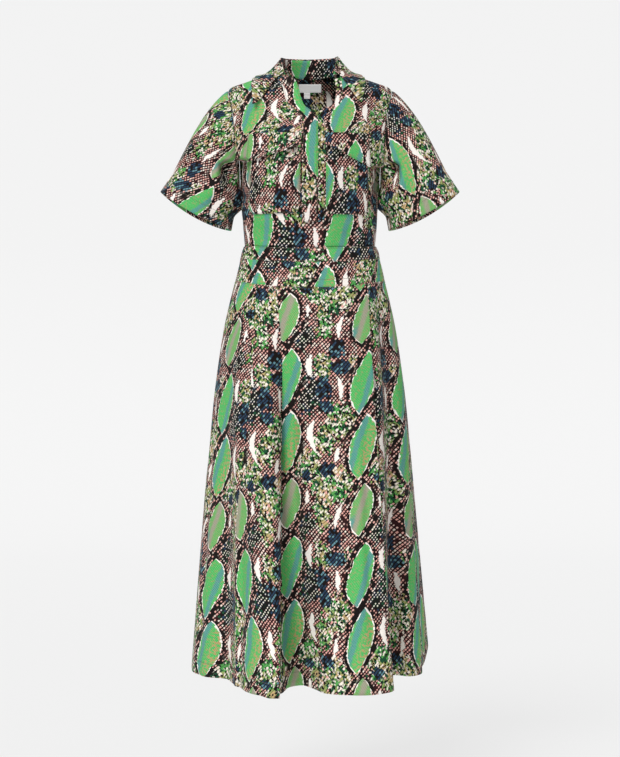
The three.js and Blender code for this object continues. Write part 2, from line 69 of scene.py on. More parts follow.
# How far each seam hangs lower at the centre front, and all of them at the centre back.
WAIST_DIP = 8
BAND_DIP = 11
SKIRT_DIP = 17
BACK_DIP = 3
DIP_START_Z = -285
NECK_POINT_Z = -96
BAND_RADIUS = 130
SKIRT_RADIUS = 150
RING_POWER = 2.3  # 2 is an ellipse, and more is squarer

PLACKET_FOOT_Z = -296
PLACKET_LEFT_X = -15
PLACKET_EDGE_X = 15
UNDER_EDGE_X = 28
UNDER_WIDTH = 13
UNDERLAP = 3
OPEN_ABOVE = 26
BAND_TOP_Z = -12
FLAP_TOP_Z = -128
POCKET_CORNER = 9

# Half widths of the body, and its depths from the side line.
TORSO = table(
    "z side front back",
    (6, 70, 34, 66),
    (-6, 106, 50, 78),
    (-16, 134, 62, 86),
    (-27, 161, 72, 92),
    (-50, 168, 86, 97),
    (-80, 168, 97, 101),
    (-120, 164, 108, 104),
    (-160, 157, 116, 103),
    (-200, 146, 119, 99),
    (-222, 139, 117, 95),
    (-260, 135.5, 110, 89),
    (-300, 133.5, 100, 84),
    (-330, 131, 94, 82),
    (-352, 129, 92, 81),
)
BAND = table(
    "z side front back",
    (-340, 131.5, 94.5, 83),
    (-352, 136.5, 96.5, 86),
    (-372, 140.5, 100, 91),
    (-400, 147, 106, 99),
    (-430, 154, 113, 107),
)
SKIRT = table(
    "z side front back",
    (-408, 149, 108, 101),
    (-448, 159.5, 118, 112),
    (-496, 170.5, 130, 123),
    (-544, 179, 141, 133),
    (-640, 192, 160, 151),
    (-736, 201, 175, 166),
    (-880, 212.5, 192, 182),
    (-1024, 224, 207, 196),
    (-1192, 237, 222, 210),
)
# The hem's ridges and valleys: angle at the waist seam, place and lift at the hem,
# and how late the fold opens.
FOLDS = table(
    "turn x y lift grow",
    (-90, -237, 20, 0, 1),
    (-76, -206, -50, 0, 1),
    (-60, -166, -72, 0, 1.1),
    (-55, -150, -112, -2, 1.1),
    (-50, -137, -174, -2, 1.1),
    (-39, -96, -232, -3, 1),
    (-31, -74, -250, -6, 1),
    (-26, -56, -249, -6, 1),
    (-22, -44, -216, -3, 1),
    (-18, -34, -164, 0, 1),
    (-12, -15, -146, 0, 1),
    (-3, 22, -206, -3, 1),
    (14, 68, -229, -4, 1),
    (32, 116, -227, -4, 0.9),
    (46, 151, -207, -2, 0.8),
    (50, 160, -174, 0, 0.8),
    (54, 161, -96, 0, 0.8),
    (60, 168, -38, 0, 0.9),
    (70, 198, -44, 0, 1),
    (80, 221, -18, 0, 1),
    (90, 229, 34, 10, 1),
    (101, 242, 92, 44, 1),
    (113, 220, 136, 18, 1),
    (124, 182, 134, 4, 1),
    (136, 160, 186, 0, 1),
    (147, 118, 222, -2, 1),
    (158, 74, 190, 0, 1),
    (170, 40, 204, 0, 1),
    (181, 2, 234, -3, 1),
    (192, -42, 208, 0, 1),
    (203, -76, 182, 2, 1),
    (214, -112, 214, 0, 1),
    (226, -158, 196, 0, 1),
    (239, -184, 144, 4, 1),
    (252, -226, 106, 2, 1),
)
NECK_LEFT = table(
    "z x",
    (-96, 4), (-78, -9), (-56, -18), (-34, -23), (-16, -31), (-6, -42), (6, -70),
)
NECK_RIGHT = table(
    "z x",
    (-96, 12), (-86, 30), (-72, 43), (-52, 51), (-24, 50), (-6, 46), (6, 56),
)
COLLAR = table(
    "at seam roll edge",
    (0, (-41, -42, -12), (-50, -40, -5), (-112, -92, -70)),
    (0.13, (-55, -24, -1), (-53, -22, 17), (-111, -62, -42)),
    (0.27, (-61, 4, 8), (-56, 4, 35), (-108, 2, 0)),
    (0.38, (-47.8, 45.8, 6), (-43, 43, 41), (-74, 60, 4)),
    (0.5, (0, 64.2, 3), (0, 60, 43), (0, 84, -6)),
    (0.62, (47.8, 45.8, 6), (42, 43, 42), (72, 60, 5)),
    (0.73, (61, 4, 8), (54, 4, 38), (103, 2, 2)),
    (0.87, (56, -20, -1), (50, -20, 20), (104, -58, -38)),
    (1, (48, -33, -10), (46, -33, -3), (101, -90, -65)),
)
FALL_CLEAR = 1.5
FALL_HOLLOW = 9
STAND_REACH = 0.97
STAND_RISE = 1
# Pockets: x of the inner and outer side, heights of top, foot and the flap's lower corners,
# and for the two prints x of the thread line and v at z 0.
POCKETS = table(
    "side inner outer top foot flap_inner flap_outer print flap_print",
    ("left", -19, -118, -146, -282, -157, -181, (-131, -128), (-130, -96)),
    ("right", 31, 112, -146, -284, -153, -192, (21, -57), (81, -15)),
)
SLEEVE = dict(
    outer_x=299, outer_z=-231, inner_x=157, inner_z=-308, half_depth=64,
    bow=9, crown=11, crown_end=0.8, crown_ease=0.7, swell=7, part=0.5,
)


# ---------- small helpers ----------
def mix(a, b, t):
    return a + (b - a) * t


def spread(n):
    """Even steps from 0 to 1."""
    return np.linspace(0, 1, n + 1)


def smooth(low, high, v):
    t = np.clip((v - low) / (high - low), 0, 1)
    return t * t * (3 - 2 * t)


def column(rows, key, value):
    """Smooth reading of one column of a table between its rows, without overshoot."""
    xs, ys = np.array(sorted((row[key], row[value]) for row in rows), float).T
    slopes = np.diff(ys) / np.diff(xs)
    product = slopes[:-1] * slopes[1:]
    total = np.where(product > 0, slopes[:-1] + slopes[1:], 1)
    tangents = np.concatenate([slopes[:1], np.where(product > 0, 2 * product / total, 0), slopes[-1:]])

    def read(x):
        v = np.clip(np.asarray(x, float), xs[0], xs[-1])
        i = np.clip(np.searchsorted(xs, v) - 1, 0, len(xs) - 2)
        h = xs[i + 1] - xs[i]
        t = (v - xs[i]) / h
        rise = ys[i] + (ys[i + 1] - ys[i]) * t * t * (3 - 2 * t)
        return rise + h * (tangents[i] * t * (1 - t) ** 2 - tangents[i + 1] * t * t * (1 - t))

    return read


class Ring:
    """Level rings of the body. Turn 0 is the centre front and 90 degrees the +X side."""

    def __init__(self, rows):
        self.side, self.front, self.back = (column(rows, "z", k) for k in ("side", "front", "back"))

    def depth(self, in_front, z):
        return np.where(in_front, self.front(z), self.back(z))

    def point(self, turn, z):
        turn, z = np.broadcast_arrays(np.asarray(turn, float), np.asarray(z, float))
        s, c = (np.sign(v) * np.abs(v) ** (2 / RING_POWER) for v in (np.sin(turn), np.cos(turn)))
        return np.stack([self.side(z) * s, -c * self.depth(np.cos(turn) > 0, z), z], -1)

    def outward(self, turn, z):
        step = 0.01  # radians
        across = self.point(turn + step, z) - self.point(turn - step, z)
        along = self.point(turn, z + 1) - self.point(turn, z - 1)
        return unit(np.cross(across, along))

    def turn_at_x(self, x, z):
        """The turn on the front half at one x."""
        ratio = np.clip(np.abs(x) / self.side(z), 0, 1)
        return np.sign(x) * np.arcsin(ratio ** (RING_POWER / 2))

    def turn_at_y(self, y, z):
        """The turn on the +X half at one y."""
        ratio = np.clip(np.abs(y) / self.depth(y < 0, z), 0, 1)
        angle = np.arccos(ratio ** (RING_POWER / 2))
        return np.where(y < 0, angle, np.pi - angle)


def unit(v):
    return v / np.maximum(np.linalg.norm(v, axis=-1, keepdims=True), 1e-9)


torso, band, skirt = Ring(TORSO), Ring(BAND), Ring(SKIRT)


def catmull(points, closed):
    """Centripetal Catmull-Rom curve, read at span number + part of the span."""
    pts = np.array(points, float)
    n = len(pts)
    if closed:
        ring = pts
    else:
        ring = np.vstack([2 * pts[0] - pts[1], pts, 2 * pts[-1] - pts[-2]])

    def read(at):
        at = np.asarray(at, float)
        if closed:
            at = at % n
            i = np.floor(at).astype(int)
            ids = [(i - 1) % n, i % n, (i + 1) % n, (i + 2) % n]
        else:
            i = np.clip(np.floor(at).astype(int), 0, n - 2)
            ids = [i, i + 1, i + 2, i + 3]
        w = (at - i)[..., None]
        p0, p1, p2, p3 = (ring[k] for k in ids)
        d0, d1, d2 = (
            np.sqrt(np.maximum(np.linalg.norm(b - a, axis=-1, keepdims=True), 1e-6))
            for a, b in ((p0, p1), (p1, p2), (p2, p3))
        )
        t1 = ((p1 - p0) / d0 - (p2 - p0) / (d0 + d1) + (p2 - p1) / d1) * d1
        t2 = ((p2 - p1) / d1 - (p3 - p1) / (d1 + d2) + (p3 - p2) / d2) * d1
        square = -3 * p1 + 3 * p2 - 2 * t1 - t2
        cube = 2 * p1 - 2 * p2 + t1 + t2
        return p1 + t1 * w + square * w**2 + cube * w**3

    return read


# ---------- creases ----------
def one_crease(c, z, ax, az, bx, bz, wide, deep, bend=0, free="", other=None, fade=0.3):
    """How far one crease moves the cloth out, at c across and z up on a chart of the piece.

    It runs from a to b, and is a trough where deep is below nought. Going from a to b,
    wide is half the width on the right hand and other the half on the left. It fades
    over a share of its length at each end, but not at the end that free names.
    """
    length = math.hypot(bx - ax, bz - az)
    ux, uz = (bx - ax) / length, (bz - az) / length
    along = ((c - ax) * ux + (z - az) * uz) / length
    off = (c - ax) * uz - (z - az) * ux - bend * np.sin(np.pi * np.clip(along, 0, 1))
    half_width = np.where(off > 0, wide, other or wide)
    at_a = 1 if free == "a" else smooth(-0.02, fade, along)
    at_b = 1 if free == "b" else smooth(-0.02, fade, 1 - along)
    return deep * np.exp(-((off / half_width) ** 2)) * (at_a * at_b)


def crease_field(creases, c, z):
    return sum(one_crease(c, z, *row) for row in creases)


# The columns are those of one_crease: ax, az, bx, bz, wide, deep, bend, free, other, fade.
# Front of the bodice: x across, z up.
FRONT_CREASES = [
    (-163, -179, -114, -176, 26, -14, 0, "a", 1.4),
    (-163, -175, -112, -172, 1.4, 2.5, 0, "a", 12, 0.4),
    (-150, -192, -126, -262, 8, -7, 4),
    (-138, -186, -112, -236, 6, -4, -3),
    (-144, -214, -124, -300, 8, 2.6),
    (-128, -250, -112, -330, 8, -2.6, 0, "", 8, 0.4),
    (163, -191, 114, -188, 1.4, -14, 0, "a", 26),
    (163, -187, 112, -184, 12, 2.6, 0, "a", 1.4, 0.4),
    (150, -200, 118, -236, 7, -7, -5),
    (146, -222, 122, -262, 6, -5, 5),
    (132, -196, 120, -250, 7, 3, 4),
    (130, -262, 116, -330, 8, -2.4),
    (-96, -300, -84, -348, 9, -2.2, 0, "b"),
    (-58, -308, -62, -348, 10, 1.8, 0, "b"),
    (-34, -304, -30, -348, 9, -1.6, 0, "b"),
    (44, -302, 40, -348, 9, 1.6, 0, "b"),
    (74, -306, 80, -348, 10, -2.2, 0, "b"),
    (102, -298, 96, -348, 9, 1.8, 0, "b"),
    (-150, -60, -128, -120, 12, -2.2, -6),
    (146, -64, 120, -128, 12, -2.4, 6),
    (-96, -52, -60, -96, 14, -1.6, 4),
    (92, -60, 58, -110, 13, -1.8, -5),
    (-92, -196, -54, -226, 12, -1.6, 5),
    (-30, -176, -62, -262, 13, 1.4, -6),
    (60, -204, 96, -238, 12, -1.7, -5),
    (40, -176, 52, -256, 12, 1.3, 5),
    (-6, -120, -2, -280, 9, -1.0, 3),
]
# Back of the bodice: x across, z up.
BACK_CREASES = [
    (-150, -70, -112, -150, 12, -2.4, 5),
    (152, -76, 108, -158, 12, -2.4, -5),
    (-140, -196, -96, -258, 9, -3.2, -5),
    (142, -190, 92, -248, 9, -3.4, 6),
    (-118, -232, -72, -300, 10, 2.0),
    (116, -240, 66, -306, 10, -2.2),
    (-60, -286, -54, -348, 10, -2.2, 0, "b"),
    (-20, -270, -14, -348, 12, 1.8, 0, "b"),
    (28, -280, 24, -348, 11, -2.0, 0, "b"),
    (70, -290, 76, -348, 10, 1.9, 0, "b"),
    (-50, -60, -38, -190, 16, -1.4, 6),
    (48, -66, 40, -180, 16, -1.4, -6),
]
# Front of the skirt: x across, z up. Where wide and other differ much, one side laps over
# the other as in a pleat.
SKIRT_FRONT_CREASES = [
    (-55, -490, -54, -1192, 1.2, -7, 0, "b", 24),
    (-54, -540, -53, -1192, 1.2, -12, 0, "b", 9, 0.4),
    (-57, -530, -57, -1192, 20, 2.5, 0, "b", 1.2),
    (115, -412, 160, -1192, 1.2, -6, 2, "b", 22),
    (115, -430, 160, -1192, 1.2, -9, 2, "b", 6),
    (112, -412, 157, -1192, 22, 2.0, 2, "b", 1.2),
    (-142, -830, -142, -1192, 1.4, -9, -4, "b", 14, 0.4),
    (183, -820, 202, -1110, 16, 2.6, 0, "", 1.6, 0.35),
    (184, -820, 203, -1110, 1.6, -4, 0, "", 14, 0.35),
    (-96, -412, -104, -640, 11, -2.6, 3, "a"),
    (-84, -560, -92, -900, 12, 2.8, -4),
    (-118, -600, -128, -1000, 11, -3.0, 4),
    (-98, -840, -104, -1192, 12, 3.2, -3, "b"),
    (-128, -470, -172, -980, 12, 2.6, 5),
    (-22, -412, -20, -560, 10, -1.8, 0, "a"),
    (6, -412, 12, -700, 12, -2.6, -4, "a"),
    (-14, -600, 2, -960, 13, 2.8, 5),
    (24, -640, 34, -1192, 13, 3.4, 5, "b"),
    (4, -780, 10, -1192, 12, -4.2, -4, "b"),
    (46, -420, 52, -880, 11, -3.2, 5, "a"),
    (62, -760, 72, -1192, 11, -4.6, -5, "b"),
    (76, -412, 84, -660, 12, 2.4, 0, "a"),
    (88, -600, 100, -1100, 12, 2.8, -5),
    (104, -680, 124, -1192, 9, -3.4, 4, "b"),
    (142, -420, 168, -760, 9, -2.6, -3, "a"),
]
# Sides and back of the skirt: turn in degrees across, z up.
SKIRT_CREASES = [
    (-84, -470, -82, -1192, 2.4, -3.4, 0, "b", 2.4, 0.5),
    (84, -640, 86, -1192, 2.0, -3.0, 0, "b"),
    (107, -440, 106, -900, 2.6, -3.0, 0.8),
    (118, -640, 119, -1192, 2.2, 3.0, 0, "b"),
    (130, -420, 129, -760, 2.6, -2.4, 0, "a"),
    (152, -560, 153, -1192, 2.4, -3.2, -0.7, "b"),
    (164, -412, 165, -820, 2.6, 2.2, 0, "a"),
    (176, -640, 175, -1192, 2.2, -2.8, 0.6, "b"),
    (187, -420, 186, -700, 2.8, -2.0, 0, "a"),
    (198, -560, 197, -1192, 2.4, 3.0, 0, "b"),
    (209, -440, 208, -980, 2.4, -3.0, 0.6),
    (221, -600, 220, -1192, 2.2, -2.8, 0, "b"),
    (233, -420, 232, -880, 2.6, 2.4, 0, "a"),
    (245, -560, 246, -1192, 2.4, -3.4, -0.8, "b"),
    (258, -430, 258, -860, 2.4, -2.4),
    (264, -700, 262, -1192, 2.0, 3.2, 0, "b"),
]
# Sleeve: angle from the top of the shoulder in degrees across (90 is the front), and
# hundredths of the way from the armhole to the hem.
SLEEVE_CREASES = [
    (128, 0, 92, 40, 20, -30, 0, "a", 2, 0.5),
    (90, 46, 160, 56, 2, 9, 0, "", 14),
    (182, 0, 178, 72, 22, 17, 0, "a", 22, 0.45),
    (134, 44, 112, 92, 7, -4.0, -5),
    (104, 12, 84, 92, 10, -3.0, -5),
    (60, 24, 68, 96, 12, -2.4, 6),
    (28, 30, 40, 100, 13, 2.2, -4, "b"),
    (168, 66, 164, 99, 7, -3.4, 2),
    (214, 6, 226, 76, 9, -5.4, -5),
    (226, 10, 250, 84, 9, 3.6, 4),
    (256, 14, 276, 92, 10, -3.0, 5),
    (300, 26, 296, 96, 12, -2.4, -5),
    (330, 30, 322, 100, 13, 2.0, 4, "b"),
]


def torso_relief(turn, z):
    """How far creases move the bodice in or out."""
    x = torso.point(turn, z)[..., 0]
    toward = np.cos(turn)
    near_seam = np.clip(np.abs(toward) / 0.12, 0, 1)
    calm_top = 1 - smooth(-40, -24, z)
    at_waist = smooth(WAIST_SEAM_Z, WAIST_SEAM_Z + 9, z)
    relief = np.where(toward > 0, crease_field(FRONT_CREASES, x, z), crease_field(BACK_CREASES, x, z))
    return relief * near_seam * calm_top * at_waist


# ---------- surfaces ----------
def sag(turn, front_dip):
    """How far a seam hangs below its height at the sides."""
    c = np.cos(turn)
    return np.where(c > 0, front_dip, BACK_DIP) * c * c


def bodice_point(turn, z):
    drop = smooth(DIP_START_Z, WAIST_SEAM_Z, z) * sag(turn, WAIST_DIP)
    return torso.point(turn, z - drop) + torso.outward(turn, z - drop) * torso_relief(turn, z)[..., None]


def on_bodice(turn, z, lift):
    """Points lifted off the creased bodice above the waist."""
    rise = lift + torso_relief(turn, z)
    return torso.point(turn, z) + torso.outward(turn, z) * rise[..., None]


def on_front(x, z, lift):
    x, z = np.broadcast_arrays(np.asarray(x, float), np.asarray(z, float))
    return on_bodice(torso.turn_at_x(x, z), z, lift)


hem_line = catmull([(row["x"], row["y"]) for row in FOLDS], True)
fold_turns = np.array([row["turn"] for row in FOLDS] + [FOLDS[0]["turn"] + 360], float)


def fold(turn):
    """The hem's place, lift and growth at one angle of the waist seam."""
    deg = np.degrees(turn)
    i = np.clip(np.searchsorted(fold_turns, deg) - 1, 0, len(FOLDS) - 1)
    t = np.clip((deg - fold_turns[i]) / (fold_turns[i + 1] - fold_turns[i]), 0, 1)
    ease = t * t * (3 - 2 * t)
    lifts, grows = (np.array([row[k] for row in FOLDS + FOLDS[:1]], float) for k in ("lift", "grow"))
    return hem_line(i + t), mix(lifts[i], lifts[i + 1], ease), mix(grows[i], grows[i + 1], ease)


def skirt_point(turn, t):
    """t runs from the hem up to the waist seam, where turn is read."""
    hem, lift, grow = fold(turn)
    top = SKIRT_SEAM_Z - SEAM - sag(turn, SKIRT_DIP)
    z = mix(HEM_Z, top, t)
    p = skirt.point(turn, z)
    amount = (1 - t) ** grow
    p[..., :2] += (hem - skirt.point(turn, HEM_Z)[..., :2]) * amount[..., None]
    p[..., 2] += lift * (1 - t) ** 2
    return p


def skirt_grid(turns, ts):
    turn, t = np.meshgrid(turns, ts)
    p = skirt_point(turn, t)
    n = grid_normals(p)
    relief = crease_field(SKIRT_CREASES, np.degrees(turn), p[..., 2])
    relief = relief + np.where(np.cos(turn) > 0, crease_field(SKIRT_FRONT_CREASES, p[..., 0], p[..., 2]), 0)
    calm = smooth(1, 0.985, t)
    return p + n * (relief * calm)[..., None]


def sleeve_point(angle, t, sign):
    """Angle 0 is the top of the shoulder and 90 degrees the front; t runs from armhole to hem."""
    sin, cos = np.sin(angle), np.cos(angle)
    z = ARMHOLE_MIDDLE_Z + ARMHOLE_HALF_HEIGHT * cos
    y = -armhole_depth(z) * np.where(sin >= 0, 1, -1)
    turn = np.where(np.abs(y) < 1e-6, np.pi / 2, torso.turn_at_y(y, z))
    top = np.maximum(0, cos)
    start = torso.point(turn, z)
    start[..., 0] += SLEEVE["part"] + WALL * top
    outer = np.array([SLEEVE["outer_x"], 0, SLEEVE["outer_z"]], float)
    inner = np.array([SLEEVE["inner_x"], 0, SLEEVE["inner_z"]], float)
    half = np.linalg.norm(outer - inner) / 2
    across = (outer - inner) / (2 * half)
    down = np.array([across[2], 0, -across[0]])
    hem = (outer + inner) / 2 + across * (half * cos)[..., None]
    hem[..., 1] -= SLEEVE["half_depth"] * sin
    hem = hem + down * (SLEEVE["bow"] * sin**2)[..., None]
    p = mix(start, hem, t[..., None])
    crown_share = np.clip(t / SLEEVE["crown_end"], 0, 1) ** SLEEVE["crown_ease"]
    full = SLEEVE["crown"] * np.sin(np.pi * crown_share)
    p = p + across * (full * top)[..., None]
    p[..., 1] -= sin * SLEEVE["swell"] * np.sin(np.pi * t)
    p[..., 0] *= sign
    return p


def armhole_depth(z):
    u = (z - ARMHOLE_MIDDLE_Z) / ARMHOLE_HALF_HEIGHT
    return ARMHOLE_HALF_DEPTH * np.sqrt(np.maximum(0, 1 - u * u))


def side_turn(z, front):
    """Angle at which a front or back ends at its side: side seam, armhole or shoulder."""
    gap = SEAM / 2 / torso.depth(front, z)
    inside = (z < SHOULDER_TIP_Z) & (z > ARMPIT_Z)
    depth = np.where(inside, armhole_depth(z), 0)
    turn = torso.turn_at_y(np.where(front, -1, 1) * np.maximum(depth, 1e-9), z)
    return np.where(front, turn - gap, turn + gap)


neck_left, neck_right = column(NECK_LEFT, "z", "x"), column(NECK_RIGHT, "z", "x")


def left_front_edge(z):
    open_ = smooth(NECK_POINT_Z - 4, NECK_POINT_Z + OPEN_ABOVE + 4, z)
    return mix(PLACKET_LEFT_X, neck_left(z) - UNDERLAP, open_)


def right_front_edge(z):
    open_ = smooth(NECK_POINT_Z - 12, NECK_POINT_Z + OPEN_ABOVE, z)
    return mix(UNDER_EDGE_X, neck_right(z) + UNDER_WIDTH, open_)


def collar_line(key):
    curve = catmull([row[key] for row in COLLAR], False)
    at = np.array([row["at"] for row in COLLAR], float)

    def read(s):
        i = np.clip(np.searchsorted(at, s) - 1, 0, len(at) - 2)
        t = np.clip((s - at[i]) / (at[i + 1] - at[i]), 0, 1)
        return curve(np.minimum(i + t, len(at) - 1 - 1e-9))

    return read


seam_line, roll_line, edge_line = (collar_line(k) for k in ("seam", "roll", "edge"))


PUSH_TIMES = 60
PUSH_MOST = 2  # the longest push
PUSH_OVER = 0.05  # and how far past its mark each one may go


def clear_of_body(p, lift):
    """Moves points out of the body until they clear the cloth below by "lift"."""
    q = p.copy()
    for _ in range(PUSH_TIMES):
        z = np.clip(q[..., 2], ARMPIT_Z, TORSO[0]["z"])
        turn = np.arctan2(q[..., 0] / torso.side(z), -q[..., 1] / torso.depth(q[..., 1] < 0, z))
        out = torso.outward(turn, z)
        inside = ((q - torso.point(turn, z)) * out).sum(-1)
        step = np.where(inside >= lift, 0, np.minimum(PUSH_MOST, lift - inside + PUSH_OVER))
        q += out * step[..., None]
    return q


def collar_fall_point(s, w):
    """s runs from the left front end to the right one, w from the roll to the edge."""
    p = mix(roll_line(s), edge_line(s), w[..., None])
    away = unit(p * [1, 1, 0])
    p = p + away * (FALL_CLEAR * (1 - w))[..., None]
    p[..., 2] += FALL_CLEAR * (1 - w) - FALL_HOLLOW * np.sin(np.pi * w)
    over_bands = smooth(0.3, 0.4, np.abs(s - 0.5))
    return clear_of_body(p, mix(LAYER, 2 * LAYER, over_bands))


# ---------- meshes ----------
def grid_normals(p, around=False):
    """Outward normals of a grid whose columns run to the right and rows run up."""
    if around:
        wrapped = np.concatenate([p[:, -2:-1], p, p[:, 1:2]], 1)
        across = wrapped[:, 2:] - wrapped[:, :-2]
    else:
        across = np.gradient(p, axis=1)
    return unit(np.cross(across, np.gradient(p, axis=0)))


def new_object(name, points, faces, uvs, finish):
    mesh = bpy.data.meshes.new(name)
    mesh.from_pydata((points / 1000).tolist(), [], faces)
    layer = mesh.uv_layers.new(name="cloth")
    layer.data.foreach_set("uv", (np.asarray(uvs, float) / 1000).ravel())
    mesh.polygons.foreach_set("use_smooth", np.ones(len(faces), bool))
    mesh.materials.append(finish)
    mesh.validate()
    made = bpy.data.objects.new(name, mesh)
    bpy.context.scene.collection.objects.link(made)
    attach(made, "root")
    return made


def cell_corners(values):
    return np.stack([values[:-1, :-1], values[:-1, 1:], values[1:, 1:], values[1:, :-1]], 2)


RIM_BULGE = 0.3  # how far a folded edge rounds out, in thicknesses
# Each shell and its grid of outer points, by the name of its solid.
grids = {}


def loose_edges(quads, count):
    """Starts and ends of the edges that only one face has."""
    starts, ends = quads.ravel(), np.roll(quads, -1, 1).ravel()
    loose = ~np.isin(starts * count + ends, ends * count + starts)
    return starts[loose], ends[loose]


def shell(node, grid, uv, slot, around=False, flip=False, keep=None, thick=WALL):
    """A closed wall of cloth under a grid of outer points, in place of one solid. uv is a
    grid too, or holds the four corners of each cell, so that the print may jump at a fold."""
    grids[node] = grid
    rows, cols = grid.shape[:2]
    normals = grid_normals(grid, around) * (-1 if flip else 1)
    wide = cols - 1 if around else cols
    index = np.arange(rows * wide).reshape(rows, wide)
    if around:
        index = np.hstack([index, index[:, :1]])
        grid, normals = grid[:, :-1], normals[:, :-1]
    quads = cell_corners(index)
    corners = uv if uv.ndim == 4 else cell_corners(uv)
    if keep is not None:
        quads, corners = quads[keep], corners[keep]
    quads, corners = quads.reshape(-1, 4), corners.reshape(-1, 4, 2)
    if flip:
        quads, corners = quads[:, ::-1], corners[:, ::-1]
    outer, normals = grid.reshape(-1, 3), normals.reshape(-1, 3)
    count = len(outer)
    inner = outer - normals * thick

    # The rim: a rounded edge between the outer and the inner face.
    p, q = loose_edges(quads, count)
    point_uv = np.zeros((count, 2))
    point_uv[quads.ravel()] = corners.reshape(-1, 2)
    away = np.zeros((count, 3))
    side = unit(np.cross(outer[q] - outer[p], normals[p]))
    np.add.at(away, p, side)
    np.add.at(away, q, side)
    rim = np.unique(np.concatenate([p, q]))
    slot_of = np.full(count, -1)
    slot_of[rim] = 2 * count + np.arange(len(rim))
    middle = (outer[rim] + inner[rim]) / 2 + unit(away[rim]) * thick * RIM_BULGE
    points = np.vstack([outer, inner, middle])
    rim_outer = np.stack([q, p, slot_of[p], slot_of[q]], 1)
    rim_inner = np.stack([slot_of[q], slot_of[p], p + count, q + count], 1)
    rim_uv = np.stack([point_uv[q], point_uv[p], point_uv[p], point_uv[q]], 1)
    faces = np.vstack([quads, quads[:, ::-1] + count, rim_outer, rim_inner])
    uvs = np.vstack([corners, corners[:, ::-1], rim_uv, rim_uv])
    made = new_object(node + "_cloth", points, faces.tolist(), uvs.reshape(-1, 2), FINISHES[slot])
    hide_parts(node)


def lengths(grid, axis):
    """Distance along the rows or columns of a grid, from its first point."""
    step = np.linalg.norm(np.diff(grid, axis=axis), axis=-1)
    first = np.zeros_like(np.take(step, [0], axis))
    return np.concatenate([first, np.cumsum(step, axis)], axis)


def line_lengths(points):
    """Distance along a line of points, from its first point."""
    return lengths(points[None], 1)[0]


def cloth_uv(grid, column, at=(0.0, 0.0), scale=1.0):
    """Cloth coordinates of a grid. The grain line runs up one column, and "at" is its
    place on the print at the top row."""
    across = lengths(grid, 1)
    u = (across - across[:, column, None]) * scale + at[0]
    fall = line_lengths(grid[:, column])
    v = (fall[-1] - fall) * scale + at[1]
    return np.stack([u, np.broadcast_to(v[:, None], u.shape)], -1)


# ---------- the print ----------
# A python-skin print, given as a chart. One repeat holds one column of three long scales
# ("lenses"). u runs across and v down the cloth, in millimetres.
REPEAT_U = 138
REPEAT_V = 366
SKEW = 0.06  # each column sits this share of its distance lower than the last
LATTICE_PITCH = 5.1
LATTICE_SLOPE = math.radians(51)
NET_SLOPE = 0.46  # how far the dark net spreads for each millimetre from a tip

# Motifs: their middle, half their width and height, and how far they lean to the right at
# the top. "shear" sets the widest place of the right side higher than that of the left.
LENSES = table(
    "u v wide high lean shear kind",
    (0, 64, 21.5, 51, 6, 0.22, "pale"),
    (0, 187, 23.5, 62, 7, 0.25, "right"),
    (1, 311, 24.5, 64, 6, 0.22, "left"),
)
WHITES = table(
    "u v wide high lean bend",
    (37, 46, 4.6, 15, 2),
    (97, 77, 5.4, 26, 7, -4),
    (47, 157, 7, 26, 0, -9),
    (94, 200, 5.6, 24, -3, 3),
    (53, 293, 6.6, 36, -3, -9),
    (93, 328, 5.4, 19, 3),
)
# Patches: "dark" has white dots on green-black, "scales" is mottled, "navy" is blue.
PATCHES = table(
    "u v wide high kind",
    (29, 97, 27, 34, "dark"),
    (38, 212, 34, 50, "dark"),
    (66, 64, 15, 40, "scales"),
    (66, 156, 18, 27, "scales"),
    (97, 263, 29, 38, "scales"),
    (72, 300, 18, 30, "scales"),
    (38, 352, 28, 34, "scales"),
    (96, 16, 32, 36, "scales"),
    (56, 14, 20, 22, "scales"),
    (118, 150, 10, 16, "scales"),
    (88, 120, 12, 19, "navy"),
    (92, 158, 18, 13, "navy"),
    (66, 200, 13, 24, "navy"),
    (72, 238, 12, 14, "navy"),
    (76, 356, 14, 12, "navy"),
    (36, 4, 12, 10, "navy"),
)


def colour(code):
    """A colour given as sRGB numbers of 0 to 255, for a shader."""
    parts = [c / 255 for c in code]
    return tuple(c / 12.92 if c <= 0.04045 else ((c + 0.055) / 1.055) ** 2.4 for c in parts) + (1.0,)


PLUM = colour((47, 18, 20))
INK = colour((16, 8, 7))
PINK = colour((228, 172, 160))
CREAM = colour((240, 230, 216))
WHITE = colour((243, 236, 229))
GREEN = colour((62, 184, 88))
LENS_OLIVE = colour((132, 162, 92))
LENS_TAN = colour((188, 148, 98))
LENS_TEAL = colour((66, 140, 150))
LENS_PALE = colour((166, 146, 140))
NAVY = colour((36, 60, 84))
STEEL = colour((98, 140, 152))
DARK_GREEN = colour((22, 78, 50))
MID_GREEN = colour((84, 162, 82))
OLIVE = colour((150, 162, 98))
TAN = colour((196, 168, 120))
BLACK_GREEN = colour((13, 25, 20))


def maths(operation):
    """A method that works on a socket, or on it and another one or a number."""
    return lambda socket, *others: socket.net.math(operation, socket, *others)


class Socket:
    """One number of a node tree, which can be added, multiplied and so on."""

    def __init__(self, net, socket):
        self.net, self.socket = net, socket

    __add__ = __radd__ = maths("ADD")
    __sub__ = maths("SUBTRACT")
    __mul__ = __rmul__ = maths("MULTIPLY")
    abs = maths("ABSOLUTE")
    max = maths("MAXIMUM")
    above = maths("GREATER_THAN")

    def __rsub__(self, other):
        return self.net.math("SUBTRACT", other, self)

    def __neg__(self):
        return 0 - self

    def ramp(self, low, high):
        node = self.net.tree.nodes.new("ShaderNodeMapRange")
        node.interpolation_type = "SMOOTHSTEP"
        self.net.fill(node, {0: self, 1: low, 2: high})
        return Socket(self.net, node.outputs[0])


